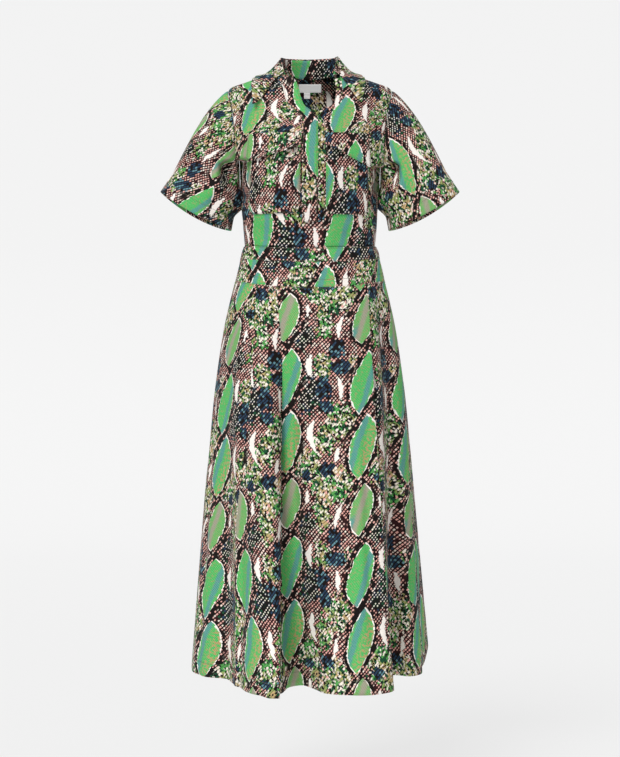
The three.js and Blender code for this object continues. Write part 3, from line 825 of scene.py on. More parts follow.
class Net:
    """Writes nodes into one tree."""

    def __init__(self, tree):
        self.tree = tree

    def fill(self, node, values):
        for key, value in values.items():
            target = node.inputs[key]
            if isinstance(value, Socket):
                self.tree.links.new(value.socket, target)
            else:
                target.default_value = value

    def node(self, kind, values=None, out=0, **settings):
        node = self.tree.nodes.new(kind)
        for key, value in settings.items():
            setattr(node, key, value)
        self.fill(node, values or {})
        return Socket(self, node.outputs[out])

    def math(self, operation, *values):
        return self.node("ShaderNodeMath", dict(enumerate(values)), operation=operation)

    def vector(self, operation, *values, out=0):
        return self.node("ShaderNodeVectorMath", dict(enumerate(values)), out=out, operation=operation)

    def dot(self, a, b):
        return self.vector("DOT_PRODUCT", a, b, out=1)

    def join(self, x, y):
        return self.node("ShaderNodeCombineXYZ", {0: x, 1: y})

    def split(self, v):
        node = self.tree.nodes.new("ShaderNodeSeparateXYZ")
        self.fill(node, {0: v})
        return Socket(self, node.outputs[0]), Socket(self, node.outputs[1])

    def blend(self, share, a, b, **settings):
        return self.node("ShaderNodeMix", {0: share, 6: a, 7: b}, out=2, data_type="RGBA", **settings)

    def noise(self, place, scale, detail, out=0):
        return self.node("ShaderNodeTexNoise", {"Vector": place, "Scale": scale, "Detail": detail}, out=out)

    def bump(self, height, strength, distance):
        return self.node("ShaderNodeBump", {"Strength": strength, "Distance": distance, "Height": height})

    def steps(self, value, stops):
        """A ramp of flat colours; stops are (from, colour)."""
        node = self.tree.nodes.new("ShaderNodeValToRGB")
        ramp = node.color_ramp
        ramp.interpolation = "CONSTANT"
        while len(ramp.elements) < len(stops):
            ramp.elements.new(1.0)
        for element, (at, _) in zip(ramp.elements, stops):
            element.position = at
        for element, (_, tint) in zip(ramp.elements, stops):
            element.color = tint
        self.fill(node, {0: value})
        return Socket(self, node.outputs[0])


def motif_space(net, p, row):
    """Where a point is in a motif, as (x, y) with the edge of the motif near 1."""
    from_middle = net.vector("SUBTRACT", p, (row["u"], row["v"], 0))
    half = (REPEAT_U / 2, REPEAT_V / 2, 1)
    near = net.vector("WRAP", from_middle, half, tuple(-h for h in half))
    return net.vector("MULTIPLY", near, (1 / row["wide"], 1 / row["high"], 0))


def lens_field(net, p, row):
    """Above nought inside a pointed oval; also gives its own x and y."""
    x, y = net.split(motif_space(net, p, row))
    x = x + y * (row["lean"] / row["wide"])
    if "shear" in row:
        y = y + x * row["shear"]
    inside = 1 - y * y
    if "bend" in row:
        x = x - inside * (row["bend"] / row["wide"])
    return inside - x.abs(), x, y


class Skin(Net):
    """The net of the print's node group, with the places and chances that its parts share."""

    def __init__(self, tree):
        super().__init__(tree)
        cloth = self.vector("MULTIPLY", self.node("NodeGroupInput"), (1000, 1000, 0))
        wobble = self.vector("MULTIPLY_ADD", self.noise(cloth, 0.024, 2.0, out=1), (9, 9, 0), (-4.5, -4.5, 0))
        self.u, self.v = self.split(self.vector("ADD", cloth, wobble))
        self.place = self.join(self.u, self.v - self.u * SKEW)
        self.fleck = self.noise(cloth, 0.2, 2.0)
        self.grain = self.noise(cloth, 0.035, 1.0)

        # The lattice of small scales: two families of slanting rows, and chances for each scale.
        cos, sin = math.cos(LATTICE_SLOPE), math.sin(LATTICE_SLOPE)
        row_a = self.dot(self.place, (sin / LATTICE_PITCH, cos / LATTICE_PITCH, 0))
        row_b = self.dot(self.place, (-sin / LATTICE_PITCH, cos / LATTICE_PITCH, 0))
        cell_a, cell_b = self.math("FLOOR", row_a), self.math("FLOOR", row_b)
        off_a, off_b = (row_a - cell_a - 0.5).abs(), (row_b - cell_b - 0.5).abs()
        cell_u = (cell_a - cell_b) * (LATTICE_PITCH / 2 / sin)
        cell_v = (cell_a + cell_b + 1) * (LATTICE_PITCH / 2 / cos)
        self.scale_middle = self.join(cell_u, cell_v)
        cell = self.join(cell_a, cell_b)
        self.chance = self.node("ShaderNodeTexWhiteNoise", {0: cell}, noise_dimensions="2D")
        self.chance_2 = self.math("FRACT", self.chance * 17.31)
        self.chance_3 = self.math("FRACT", self.chance * 151.7)
        self.ragged = (self.chance_3 - 0.5) * 0.5
        self.by_scale, self.toothed = self.stepped(0.8), self.stepped(0.4)

        # Pink and cream dashes on plum, and the sparse ones on the dark lines.
        self.dash = (off_a * 1.22).max(off_b * 0.9) + (self.fleck - 0.5) * 0.16
        size = 0.2 + self.chance * 0.15
        dot = 1 - self.dash.ramp(size - 0.05, size + 0.05)
        self.dot_tint = self.blend(self.chance_3.ramp(0.3, 0.95), PINK, CREAM)
        self.many_dots = self.blend(dot * self.chance_2.above(0.08), PLUM, self.dot_tint)
        self.few_dots = self.blend(dot * self.chance_2.above(0.64), INK, PINK)

    def stepped(self, share):
        """The place on the cloth, drawn towards the middle of its small scale."""
        return self.vector(
            "ADD", self.vector("MULTIPLY", self.scale_middle, (share, share, 0)),
            self.vector("MULTIPLY", self.place, (1 - share, 1 - share, 0)),
        )


def mottled_scales(skin):
    """A drifting ground of greens and tan, with dark and pale flecks."""
    tint = skin.blend(skin.grain.ramp(0.44, 0.54), MID_GREEN, OLIVE)
    tint = skin.blend(skin.grain.ramp(0.56, 0.66), tint, TAN)
    place = skin.vector("MULTIPLY", skin.place, (1, 0.8, 0))
    values = {"Vector": place, "Scale": 0.36, "Randomness": 0.85}
    cells = skin.node("ShaderNodeTexVoronoi", values, out="Color", voronoi_dimensions="2D")
    fleck_chance = skin.node("ShaderNodeSeparateColor", {0: cells})
    tint = skin.blend(skin.chance.above(0.88), tint, CREAM)
    tint = skin.blend(skin.chance.above(0.95), tint, PINK)
    tint = skin.blend(1 - skin.chance.above(0.22), tint, DARK_GREEN)
    tint = skin.blend(fleck_chance.above(0.8), tint, CREAM)
    tint = skin.blend(1 - fleck_chance.above(0.24), tint, INK)
    return skin.blend(skin.dash.ramp(0.38, 0.48) * 0.55, tint, INK)


def dark_scales(skin):
    """White dots on green-black."""
    ground = skin.steps(skin.chance, [(0.0, BLACK_GREEN), (0.42, DARK_GREEN), (0.66, NAVY), (0.84, INK)])
    tint = skin.blend(skin.dash.ramp(0.36, 0.44), ground, INK)
    dot = 1 - skin.dash.ramp(0.16, 0.28)
    return skin.blend(dot * skin.chance_2.above(0.32), tint, CREAM)


def navy_scales(skin):
    ground = skin.steps(skin.chance, [(0.0, NAVY), (0.5, STEEL), (0.78, INK)])
    return skin.blend(skin.dash.ramp(0.33, 0.43), ground, INK)


PATCH_FILLS = {"dark": dark_scales, "scales": mottled_scales, "navy": navy_scales}


def patch_field(skin, row):
    """Above nought inside a patch: a diamond if it is dark, and an oval if not."""
    space = motif_space(skin, skin.by_scale, row)
    if row["kind"] == "dark":
        x, y = skin.split(space)
        return 1 - x.abs() - y.abs()
    return 1 - skin.vector("LENGTH", space, out=1)


def with_patches(skin, tint):
    for kind, fill in PATCH_FILLS.items():
        fields = [patch_field(skin, row) for row in PATCHES if row["kind"] == kind]
        inside = functools.reduce(Socket.max, fields)
        tint = skin.blend((inside + skin.ragged).above(0), tint, fill(skin))
    return tint


def with_dark_net(skin, tint):
    """Dark lines that cross between the tips of the lenses and run round them."""
    half_u, half_v = REPEAT_U / 2, REPEAT_V / len(LENSES) / 2
    from_tip = skin.vector("SUBTRACT", skin.stepped(0.55), (0, LENSES[0]["v"] + half_v, 0))
    x, y = skin.split(skin.vector("WRAP", from_tip, (half_u, half_v, 1), (-half_u, -half_v, -1)))
    off = ((x + y * 0.1).abs() - y.abs() * NET_SLOPE - 1.0).abs()
    beads = (1 - skin.dash.ramp(0.3, 0.4)) * skin.chance_3.above(0.3)
    beside = 1 - off.ramp(6.0, 8.5)
    tint = skin.blend(beside * beads, tint, skin.dot_tint)
    strand = 1 - (off + skin.ragged * 1.8).ramp(3.6, 4.8)
    strand = strand * (1 - y.abs().ramp(48, 60) * skin.chance_2)
    return skin.blend(strand, tint, skin.few_dots)


def lens_middle(skin, kind, slant, y):
    """Green, with a slanting band of teal whose place goes by the kind of lens."""
    tint = skin.blend(skin.fleck.ramp(0.5, 0.66), GREEN, LENS_OLIVE)
    if kind == "pale":
        tint = skin.blend(0.4, tint, LENS_OLIVE)
        pale = 1 - (slant + 0.12).abs().ramp(0.1, 0.45)
        tint = skin.blend(pale * 0.8, tint, LENS_PALE)
        teal = (-slant).ramp(0.2, 0.5) * y.ramp(0.0, 0.3)
    elif kind == "right":
        teal = 1 - (slant - 0.44).abs().ramp(0.12, 0.34)
    else:
        tan = (slant + 0.1).ramp(-0.1, 0.5) * skin.fleck.ramp(0.44, 0.58)
        tint = skin.blend(tan * 0.8, tint, LENS_TAN)
        teal = 1 - (slant + 0.5).abs().ramp(0.14, 0.36)
    hatch = skin.math("SINE", (skin.u * 0.95 + skin.v * 0.5) * 2.3)
    cross_hatch = skin.math("SINE", (skin.u - skin.v * 1.1) * 2.6)
    tint = skin.blend(teal * (hatch * 0.2 + 0.8), tint, LENS_TEAL)
    tint = skin.blend(hatch.above(0.72) * 0.24, tint, CREAM)
    return skin.blend(cross_hatch.above(0.68) * 0.3, tint, DARK_GREEN)


def with_lens(skin, tint, row):
    """A dark border, a white toothed edge and a shaded middle."""
    field, x, y = lens_field(skin, skin.toothed, row)
    tint = skin.blend((field + skin.ragged * 0.16).ramp(-0.3, -0.16), tint, skin.few_dots)
    slant = x + y * 0.5  # steady along lines that run down to the left
    inner = (field + skin.ragged * 0.12).above(0.06)
    lens = skin.blend(inner, WHITE, lens_middle(skin, row["kind"], slant, y))
    return skin.blend(field.above(0.0), tint, lens)


def with_sliver(skin, tint, row):
    field, _, _ = lens_field(skin, skin.toothed, row)
    return skin.blend((field + skin.ragged * 0.8).ramp(0.08, 0.28), tint, WHITE)


def print_group():
    """The print as a node group: cloth coordinates in metres in, colour out."""
    tree = bpy.data.node_groups.new("python_print", "ShaderNodeTree")
    tree.interface.new_socket("Cloth", in_out="INPUT", socket_type="NodeSocketVector")
    tree.interface.new_socket("Color", in_out="OUTPUT", socket_type="NodeSocketColor")
    skin = Skin(tree)
    tint = with_dark_net(skin, with_patches(skin, skin.many_dots))
    for row in LENSES:
        tint = with_lens(skin, tint, row)
    for row in WHITES:
        tint = with_sliver(skin, tint, row)
    skin.fill(tree.nodes.new("NodeGroupOutput"), {0: tint})
    return tree


WEAVE_PITCH = 0.9  # one yarn and the gap beside it
python_print = print_group()


def new_finish(name):
    """A material, its net and its main shader."""
    finish = bpy.data.materials.new(name)
    finish.use_nodes = True
    nodes = finish.node_tree.nodes
    return finish, Net(finish.node_tree), next(n for n in nodes if n.type == "BSDF_PRINCIPLED")


def printed_cotton(name):
    """Printed cotton: the print, a fine weave and soft sheen."""
    finish, net, shader = new_finish(name)
    uv = net.node("ShaderNodeUVMap", uv_map="cloth")
    tint = net.node("ShaderNodeGroup", {0: uv}, node_tree=python_print)
    u, v = net.split(net.vector("MULTIPLY", uv, (1000, 1000, 0)))
    step = 2 * math.pi / WEAVE_PITCH
    yarn = net.math("SINE", u * step) * net.math("SINE", v * step)
    slub = net.noise(uv, 260.0, 3.0)
    shade = (slub - 0.5) * 0.22 + yarn * 0.04 + 1.0
    grey = net.node("ShaderNodeCombineColor", {0: shade, 1: shade, 2: shade})
    net.fill(shader, {
        "Base Color": net.blend(1.0, tint, grey, blend_type="MULTIPLY"),
        "Normal": net.bump(yarn * 0.5 + slub, 0.12, 0.0004),
        "Roughness": 0.8,
        "Specular IOR Level": 0.18,
        "Sheen Weight": 0.04,
        "Sheen Roughness": 0.5,
    })
    return finish


def plain_cloth(name, tint, roughness, scale, strength, painted_glow=0.0):
    """Plain woven cloth or thread, with its own fine weave."""
    finish, net, shader = new_finish(name)
    noise = net.noise(net.node("ShaderNodeTexCoord", out="Object"), scale, 3.0)
    low = tuple(c * 0.86 for c in tint[:3]) + (1.0,)
    net.fill(shader, {
        "Base Color": net.blend(noise.ramp(0.35, 0.65), low, tint),
        "Normal": net.bump(noise, strength, 0.0003),
        "Roughness": roughness,
        # Emission is painted light, a glow that lightens the cloth in shade; it is nought unless asked for.
        "Emission Color": (1, 1, 1, 1),
        "Emission Strength": painted_glow,
    })
    return finish


# Each slot's material. The label has painted light: a little emission keeps it light in the neck's shade.
FINISHES = {f"{part}_cloth": printed_cotton(f"{part}_cotton") for part in ("bodice", "skirt", "band", "trim")}
FINISHES["label_cloth"] = plain_cloth("label_satin", colour((250, 249, 246)), 0.42, 900.0, 0.15, painted_glow=0.3)
thread = plain_cloth("thread", colour((104, 104, 84)), 0.6, 1500.0, 0.3)


# ---------- bodice ----------
BODICE_ZS = np.concatenate([
    np.linspace(WAIST_SEAM_Z, ARMPIT_Z, 34)[:-1],
    ARMHOLE_MIDDLE_Z - ARMHOLE_HALF_HEIGHT * np.cos(np.pi * spread(52)),
    np.linspace(SHOULDER_TIP_Z + 3, 5, 12),
])
placket_row = int(np.argmax(BODICE_ZS > PLACKET_FOOT_Z))
PLACKET_ZS = BODICE_ZS[(BODICE_ZS > PLACKET_FOOT_Z) & (BODICE_ZS < BAND_TOP_Z)]
# The thread line of the lenses on each half of the front: height and x.
LEFT_GRAIN = [(-60, -112), (-100, -114), (-160, -130), (-250, -106), (-330, -90)]
RIGHT_GRAIN = [(-60, 64), (-140, 62), (-250, 60), (-330, 57)]
CHEST = dict(foot=-130, rise=75, drawn=0.5)  # where the print is drawn in along the length
# v of the print where z is 0, and u at the centre back.
FRONT_V = 244
BACK_U = 92
BACK_V = 150


def by_height(places, z):
    zs, xs = np.array(sorted(place[:2] for place in places), float).T
    return np.interp(z, zs, xs)


def upright_print(grid, grain_x, v_at_top):
    """Cloth coordinates with u 0 at one x, or one for each row, and v counted down from z 0."""
    x, across = grid[..., 0], lengths(grid, 1)
    line = np.broadcast_to(grain_x, len(grid))
    beyond = np.minimum(0, line - x[:, 0]) + np.maximum(0, line - x[:, -1])
    here = np.array([np.interp(*row) for row in zip(line, x, across)]) + beyond
    return np.stack([across - here[:, None], v_at_top - grid[..., 2]], -1)


def bodice_front():
    half = 64
    z = BODICE_ZS[:, None]
    out = side_turn(z, True)
    split = z > PLACKET_FOOT_Z
    left = torso.turn_at_x(np.where(split, left_front_edge(z), PLACKET_LEFT_X), z)
    right = torso.turn_at_x(np.where(split, right_front_edge(z), UNDER_EDGE_X), z)
    s = spread(half)[None]
    turns = np.hstack([mix(-out, left, s), mix(right, out, s)])
    grid = bodice_point(turns, np.broadcast_to(z, turns.shape))
    keep = np.ones((len(grid) - 1, turns.shape[1] - 1), bool)
    keep[placket_row - 1:, half] = False
    # Each half has its own thread line; below the placket they are drawn together.
    along = torso_arc(turns, z)
    left_line = torso_arc(torso.turn_at_x(by_height(LEFT_GRAIN, z), z), z)
    right_line = torso_arc(torso.turn_at_x(by_height(RIGHT_GRAIN, z), z), z)
    ease = mix(REPEAT_U / (right_line - left_line), 1, smooth(-300, -240, z))
    left_u = (along[:, :half + 1] - left_line) * ease
    right_u = REPEAT_U + (along[:, half + 1:] - right_line) * ease
    height = print_height(grid)
    height = height + CHEST["drawn"] * np.clip(height - CHEST["foot"], 0, CHEST["rise"])
    uv = np.stack(np.broadcast_arrays(np.hstack([left_u, right_u]), FRONT_V - height), -1)
    shell("bodice_front", grid, uv, "bodice_cloth", keep=keep)


def print_height(grid):
    """The height of each row, measured over the cloth where the shoulders slope in."""
    z, over = grid[..., 2].mean(1), lengths(grid, 0).mean(1)
    first = int(np.argmax(z > SHOULDER_TIP_Z - 10))
    return np.where(z > z[first], z[first] + over - over[first], z)[:, None]


def torso_arc(turn, z):
    """Distance round the body from the centre front, at the height of each point."""
    angles = np.linspace(-2 * np.pi, 2 * np.pi, 721)
    centre_front = len(angles) // 2
    rows = []
    for turn_row, height in zip(turn, np.broadcast_to(z, turn.shape)[:, 0]):
        along = line_lengths(torso.point(angles, height))
        rows.append(np.interp(turn_row, angles, along - along[centre_front]))
    return np.array(rows)


def bodice_back():
    z = BODICE_ZS[:, None]
    start = side_turn(z, False)
    turns = mix(start, 2 * np.pi - start, spread(110)[None])
    grid = bodice_point(turns, np.broadcast_to(z, turns.shape))
    # Above the armpit the threads run straight up, whatever the slope of the shoulders.
    upright_u = torso_arc(np.full((1, 1), np.pi), ARMPIT_Z) - grid[..., 0]
    u = mix(torso_arc(turns, z), upright_u, smooth(ARMPIT_Z - 20, ARMPIT_Z + 30, z)) + BACK_U
    over = lengths(grid[..., 1:], 0)
    armpit_row = int(np.argmax(BODICE_ZS > ARMPIT_Z))
    height = np.where(z > BODICE_ZS[armpit_row], BODICE_ZS[armpit_row] + over - over[armpit_row], z)
    shell("bodice_back", grid, np.stack([u, BACK_V - height], -1), "bodice_cloth")


def placket_over():
    z = np.concatenate([[PLACKET_FOOT_Z - 4, PLACKET_FOOT_Z - 1], PLACKET_ZS])[:, None]
    open_ = smooth(NECK_POINT_Z - 6, NECK_POINT_Z + OPEN_ABOVE, z)
    right = mix(PLACKET_EDGE_X, neck_left(z), open_)
    x = mix(right - (PLACKET_EDGE_X - PLACKET_LEFT_X), right, spread(10)[None])
    grid = on_front(x, z, LAYER)
    leaning_x = 14 + 0.2 * (-160 - z[:, 0])
    shell("placket_over", grid, upright_print(grid, leaning_x, 151), "trim_cloth")


def placket_under():
    z = np.concatenate([[BODICE_ZS[placket_row - 1] + SEAM], PLACKET_ZS])[:, None]
    open_ = smooth(NECK_POINT_Z - 16, NECK_POINT_Z + OPEN_ABOVE, z)
    left = mix(left_front_edge(z) + SEAM, right_front_edge(z) - UNDER_WIDTH, open_)
    right = right_front_edge(z) - SEAM
    grid = on_front(mix(left, right, spread(12)[None]), z, 0)
    shell("placket_under", grid, upright_print(grid, -40, 268), "trim_cloth")


def side_ends(row):
    return (row["outer"], row["inner"]) if row["side"] == "left" else (row["inner"], row["outer"])


FLAP_STAND = 5.6  # how far a flap's lower edge stands off its pocket
FLAP_WAVE = 1.6  # and how much that varies along it


def pocket(row):
    start, end = side_ends(row)
    t = np.concatenate([np.linspace(0, 0.075, 6)[:-1], np.linspace(0.075, 1, 34)])[:, None]
    z = mix(row["foot"], row["top"], t)
    corner = POCKET_CORNER * np.clip(1 - (z - row["foot"]) / POCKET_CORNER, 0, 1)
    turn = mix(torso.turn_at_x(start + corner, z), torso.turn_at_x(end - corner, z), spread(26)[None])
    grid = on_bodice(turn, np.broadcast_to(z, turn.shape), LAYER)
    shell(f"pocket_{row['side']}", grid, upright_print(grid, *row["print"]), "trim_cloth")


def flap(row):
    start, end = side_ends(row)
    x = mix(start - 1, end + 1, spread(28)[None])
    reach = (x - row["inner"]) / (row["outer"] - row["inner"])
    t = spread(14)[:, None]
    z = mix(mix(row["flap_inner"], row["flap_outer"], reach), FLAP_TOP_Z, t)
    # The lower edge stands off the pocket a little, unevenly, as pressed cloth does.
    at_edge = FLAP_STAND + FLAP_WAVE * np.sin(5.5 * reach + 0.6)
    grid = on_front(x, z, 2 * LAYER + (1 - t) ** 1.6 * at_edge)
    shell(f"pocket_flap_{row['side']}", grid, upright_print(grid, *row["flap_print"]), "trim_cloth")


# ---------- sleeves ----------
# Angle of the thread line, v at the hem, and how far u leans with the rise.
SLEEVE_PRINT = {"right": (92, 415, 0), "left": (84, 190, 0.24)}


def sleeve(side, sign):
    angle = np.linspace(0, 2 * np.pi, 181)
    t = np.concatenate([np.linspace(0, 0.06, 5)[:-1], np.linspace(0.06, 0.97, 52), [0.985, 1]])
    a, tt = np.meshgrid(angle, t)
    smooth_grid = sleeve_point(a, tt, sign)
    n = grid_normals(smooth_grid, True) * sign
    # The left sleeve's creases are shifted a little, so that the two aren't twins.
    chart = np.degrees(a) if sign > 0 else np.degrees(a) * 0.94 + 8
    relief = crease_field(SLEEVE_CREASES, chart, tt * 100) * smooth(0.02, 0.2, tt)
    seam_gap = smooth(0, 0.12, np.sin(a / 2) ** 2)
    grid = smooth_grid + n * (relief * seam_gap)[..., None]
    thread_line, v_hem, lean = SLEEVE_PRINT[side]
    across, fall = lengths(smooth_grid, 1), lengths(smooth_grid, 0)
    u = (across[:, int(round(thread_line / 2))][:, None] - across) * sign
    rise = fall[-1:] - fall
    uv = np.stack([u - lean * rise, v_hem - rise], -1)
    shell(f"sleeve_{side}", grid, uv, "bodice_cloth", around=True, flip=sign < 0)


# ---------- collar ----------
def turned_print(grid, u, v, turn_deg):
    """Cloth coordinates for a piece cut at an angle to the grain."""
    uv = cloth_uv(grid, grid.shape[1] // 2)
    a = math.radians(turn_deg)
    return np.stack([
        u + uv[..., 0] * math.cos(a) - uv[..., 1] * math.sin(a),
        v + uv[..., 0] * math.sin(a) + uv[..., 1] * math.cos(a),
    ], -1)


def collar_stand():
    s, t = np.meshgrid(spread(120), spread(8))
    grid = mix(seam_line(s) + [0, 0, STAND_RISE], roll_line(s), (t * STAND_REACH)[..., None])
    shell("collar_stand", grid, turned_print(grid, u=15, v=200, turn_deg=0), "trim_cloth")


def collar_fall():
    s, t = np.meshgrid(spread(160), spread(26))
    grid = collar_fall_point(s, 1 - t)
    shell("collar_fall", grid, turned_print(grid, u=112, v=170, turn_deg=90), "trim_cloth")


# ---------- waistband ----------
BAND_ROWS = table(
    "name top top_dip foot foot_dip print scale lean",
    ("upper", WAIST_SEAM_Z, WAIST_DIP, BAND_SEAM_Z, BAND_DIP, (86, 228), 0.9, 0.0),
    ("lower", BAND_SEAM_Z, BAND_DIP, SKIRT_SEAM_Z, SKIRT_DIP, (114, 245), 1.0, 0.17),
)


def waistband(row, place):
    columns = 150
    gap = SEAM / 2 / BAND_RADIUS
    first = -np.pi / 2 if place == "front" else np.pi / 2
    turn, t = np.meshgrid(mix(first + gap, first + np.pi - gap, spread(columns)), spread(12))
    top = row["top"] - SEAM - sag(turn, row["top_dip"])
    foot = row["foot"] - sag(turn, row["foot_dip"])
    grid = band.point(turn, mix(foot, top, t))
    # A soft unevenness, as a sewn band has, that dies away at its seams.
    ripple = 0.7 * np.sin(turn * 9 + 0.7 * np.sin(turn * 4)) * np.sin(np.pi * t)
    grid = grid + grid_normals(grid) * ripple[..., None]
    u, v = row["print"]
    uv = cloth_uv(grid, columns // 2, (u if place == "front" else u + 60, v), row["scale"])
    uv[..., 1] += (uv[..., 0] - u) * row["lean"]
    shell(f"waistband_{row['name']}_{place}", grid, uv, "band_cloth")


# ---------- skirt ----------
# The fold edges of the two front pleats: height and x. The right one is only roughly
# placed, since turning_line() finds the edge on the cloth itself.
LEFT_PLEAT = [(-410, -68), (-500, -58), (-560, -54), (-1192, -55)]
RIGHT_PLEAT = [(-410, 112), (-570, 121), (-1192, 160)]
NEAR_EDGE = 6  # how far from that rough line the edge is looked for
BEFORE_EDGE = 0.8  # how far before the edge the print changes
# The print on each stretch of the skirt between two folds. "until" is the fold it ends
# at, as x by height, and "grain" lists places on one thread line: height, x and u. Where
# "then" gives a second line, the print is drawn out or in a little to meet both. "flat" is
# how far u goes by x and not along the cloth, so that the print hangs straight over folds.
SKIRT_PRINT = {
    "front": [
        dict(v=-56, until=[(-410, -104), (-550, -110), (-640, -115), (-720, -123), (-865, -141), (-960, -146),
                           (-1192, -140)],
             grain=[(-436, -128, 0), (-540, -151, 0), (-653, -163, 0), (-764, -171, 0), (-902, -188, 0),
                    (-1130, -206, 0)],
             then=[(-430, -106, 29), (-520, -110, 55), (-640, -115, 74), (-764, -128, 71), (-902, -143, 73),
                   (-1030, -146, 69), (-1150, -142, 87)]),
        dict(v=-23, until=LEFT_PLEAT, flat=0.6,
             grain=[(-434, -92, 78), (-490, -86, 78), (-612, -74, 76), (-747, -148, 0), (-871, -135, 0),
                    (-975, -125, 0), (-1103, -108, 0)],
             then=[(-434, -66, 106), (-490, -59, 104), (-612, -56, 96), (-747, -56, 103), (-871, -56, 97),
                   (-975, -56, 86), (-1103, -56, 63)]),
        dict(v=2, until=RIGHT_PLEAT, turns_back=True, flat=0.7,
             grain=[(-410, -47, 0), (-560, -44, 0), (-800, -40, 0), (-1192, -34, 0)],
             then=[(-410, 103, 138), (-700, 101, 138), (-900, 97, 138), (-1192, 92, 138)]),
        dict(v=-24, until=[(-410, 999), (-1192, 999)],
             grain=[(-430, 150, 138), (-520, 167, 138), (-619, 181, 138), (-742, 193, 138), (-850, 200, 138),
                    (-953, 206, 138), (-1080, 214, 138), (-1192, 221, 138)],
             then=[(-430, 113, 58), (-520, 118, 46), (-619, 124, 42), (-742, 133, 34), (-850, 140, 36),
                   (-953, 146, 32), (-1030, 147, -40), (-1192, 150, -110)]),
    ],
    "back": [
        dict(v=-40, until=[(-410, -88), (-1192, -150)], grain=[(-410, -112, 0), (-1192, -190, 0)]),
        dict(v=-8, until=[(-410, 6), (-1192, 2)], grain=[(-410, -44, 0), (-1192, -84, 0)]),
        dict(v=14, until=[(-410, 92), (-1192, 146)], grain=[(-410, 50, 0), (-1192, 66, 0)]),
        dict(v=-30, until=[(-410, 999), (-1192, 999)], grain=[(-410, 118, 0), (-1192, 186, 0)]),
    ],
}


def print_line(places, x, level, along):
    """Distance along each row of a grid, and u, on a line given by height, x and u."""
    found = []
    for height, at, u in places:
        row = int(np.argmin(np.abs(level - height)))
        found.append((height, np.interp(at, np.maximum.accumulate(x[row]), along[row]), u))
    heights, far, us = np.array(sorted(found)).T
    return np.interp(level, heights, far)[:, None], np.interp(level, heights, us)[:, None]


def turning_line(line, x, level):
    """Height and x just before each row of a grid turns back on itself, near a rough line."""
    places = []
    for row, height in zip(x, level):
        edge = by_height(line, height)
        turns = (row[1:] < row[:-1]) & (abs(row[:-1] - edge) < NEAR_EDGE)
        if turns.any():
            edge = row[:-1][turns][0]
        places.append((height, edge - BEFORE_EDGE))
    return places


def skirt_panel(place):
    """The back's x is counted to the right as seen from behind, like its columns."""
    gap = SEAM / 2 / SKIRT_RADIUS
    sign, first = (1, -np.pi / 2) if place == "front" else (-1, np.pi / 2)
    turns = mix(first + gap, first + np.pi - gap, spread(300))
    grid = skirt_grid(turns, spread(104))
    x, z = sign * grid[..., 0], grid[..., 2]
    across, fall = lengths(grid, 1), lengths(grid, 0)
    level = z.mean(1)
    v = np.broadcast_to((fall[-1:] - fall).mean(1, keepdims=True), x.shape)
    middle_x = np.maximum.accumulate((x[:-1, :-1] + x[1:, 1:]) / 2, 1)
    middle_z = (z[:-1, :-1] + z[1:, 1:]) / 2
    corners = np.full(middle_x.shape + (4, 2), np.nan)

    for row in SKIRT_PRINT[place]:
        along = mix(across, x, row.get("flat", 0))
        start, start_u = print_line(row["grain"], x, level, along)
        u = start_u + along - start
        if "then" in row:
            then, then_u = print_line(row["then"], x, level, along)
            u = start_u + (along - start) * (then_u - start_u) / (then - start)
        until = turning_line(row["until"], x, level) if "turns_back" in row else row["until"]
        free = np.isnan(corners[..., 0, 0]) & (middle_x < by_height(until, middle_z))
        corners[free] = cell_corners(np.stack([u, v + row["v"]], -1))[free]
    shell(f"skirt_{place}", grid, corners, "skirt_cloth")


# ---------- labels ----------
LABEL_TOP = -2
LABEL_HEIGHT = 15
LABEL_THICKNESS = 0.8


def label(name, half, middle, top, height, columns):
    """A small flat piece that lies against the inside of the back."""
    x, z = np.meshgrid(mix(middle + half, middle - half, spread(columns)), top - height * (1 - spread(6)))
    turn = np.pi - torso.turn_at_x(x, z)
    grid = torso.point(turn, z) - torso.outward(turn, z) * LAYER
    shell(name, grid, cloth_uv(grid, 0), "label_cloth", thick=LABEL_THICKNESS)


# ---------- sewing ----------
STITCH = dict(long=2.4, gap=1.0, wide=0.42, high=0.3, lift=0.12)
# Along a stitch: place, in shares of its length, and how full it is there.
STITCH_SHAPE = [(-0.5, 0.45), (-0.36, 1.0), (0.36, 1.0), (0.5, 0.45)]
STITCH_SIDES = 6


def inset(name, edge, far, trim=0.0, around=False, back=False, flip=False):
    """Points and normals of a line on a piece, at one distance from an edge."""
    grid = grids[name]
    normals = grid_normals(grid, around) * (-1 if flip else 1)
    if back:  # the wall grows along the other side of these grids
        normals = -normals
        grid = grid + normals * WALL
    if edge in ("left", "right"):
        grid, normals = grid.transpose(1, 0, 2), normals.transpose(1, 0, 2)
    if edge in ("top", "right"):
        grid, normals = grid[::-1], normals[::-1]
    deep = lengths(grid, 0)
    places = []
    for i in range(grid.shape[1]):
        at = np.interp(far, deep[:, i], np.arange(len(deep)))
        j = min(int(at), len(deep) - 2)
        places.append([mix(a[j, i], a[j + 1, i], at - j) for a in (grid, normals)])
    points, normals = np.array(places).transpose(1, 0, 2)
    along = line_lengths(points)
    inner = (along >= trim) & (along <= along[-1] - trim)
    return points[inner], normals[inner]


def read_along(place, along, values):
    """A point or normal at one distance along a line."""
    return np.array([np.interp(place, along, values[:, axis]) for axis in range(3)])


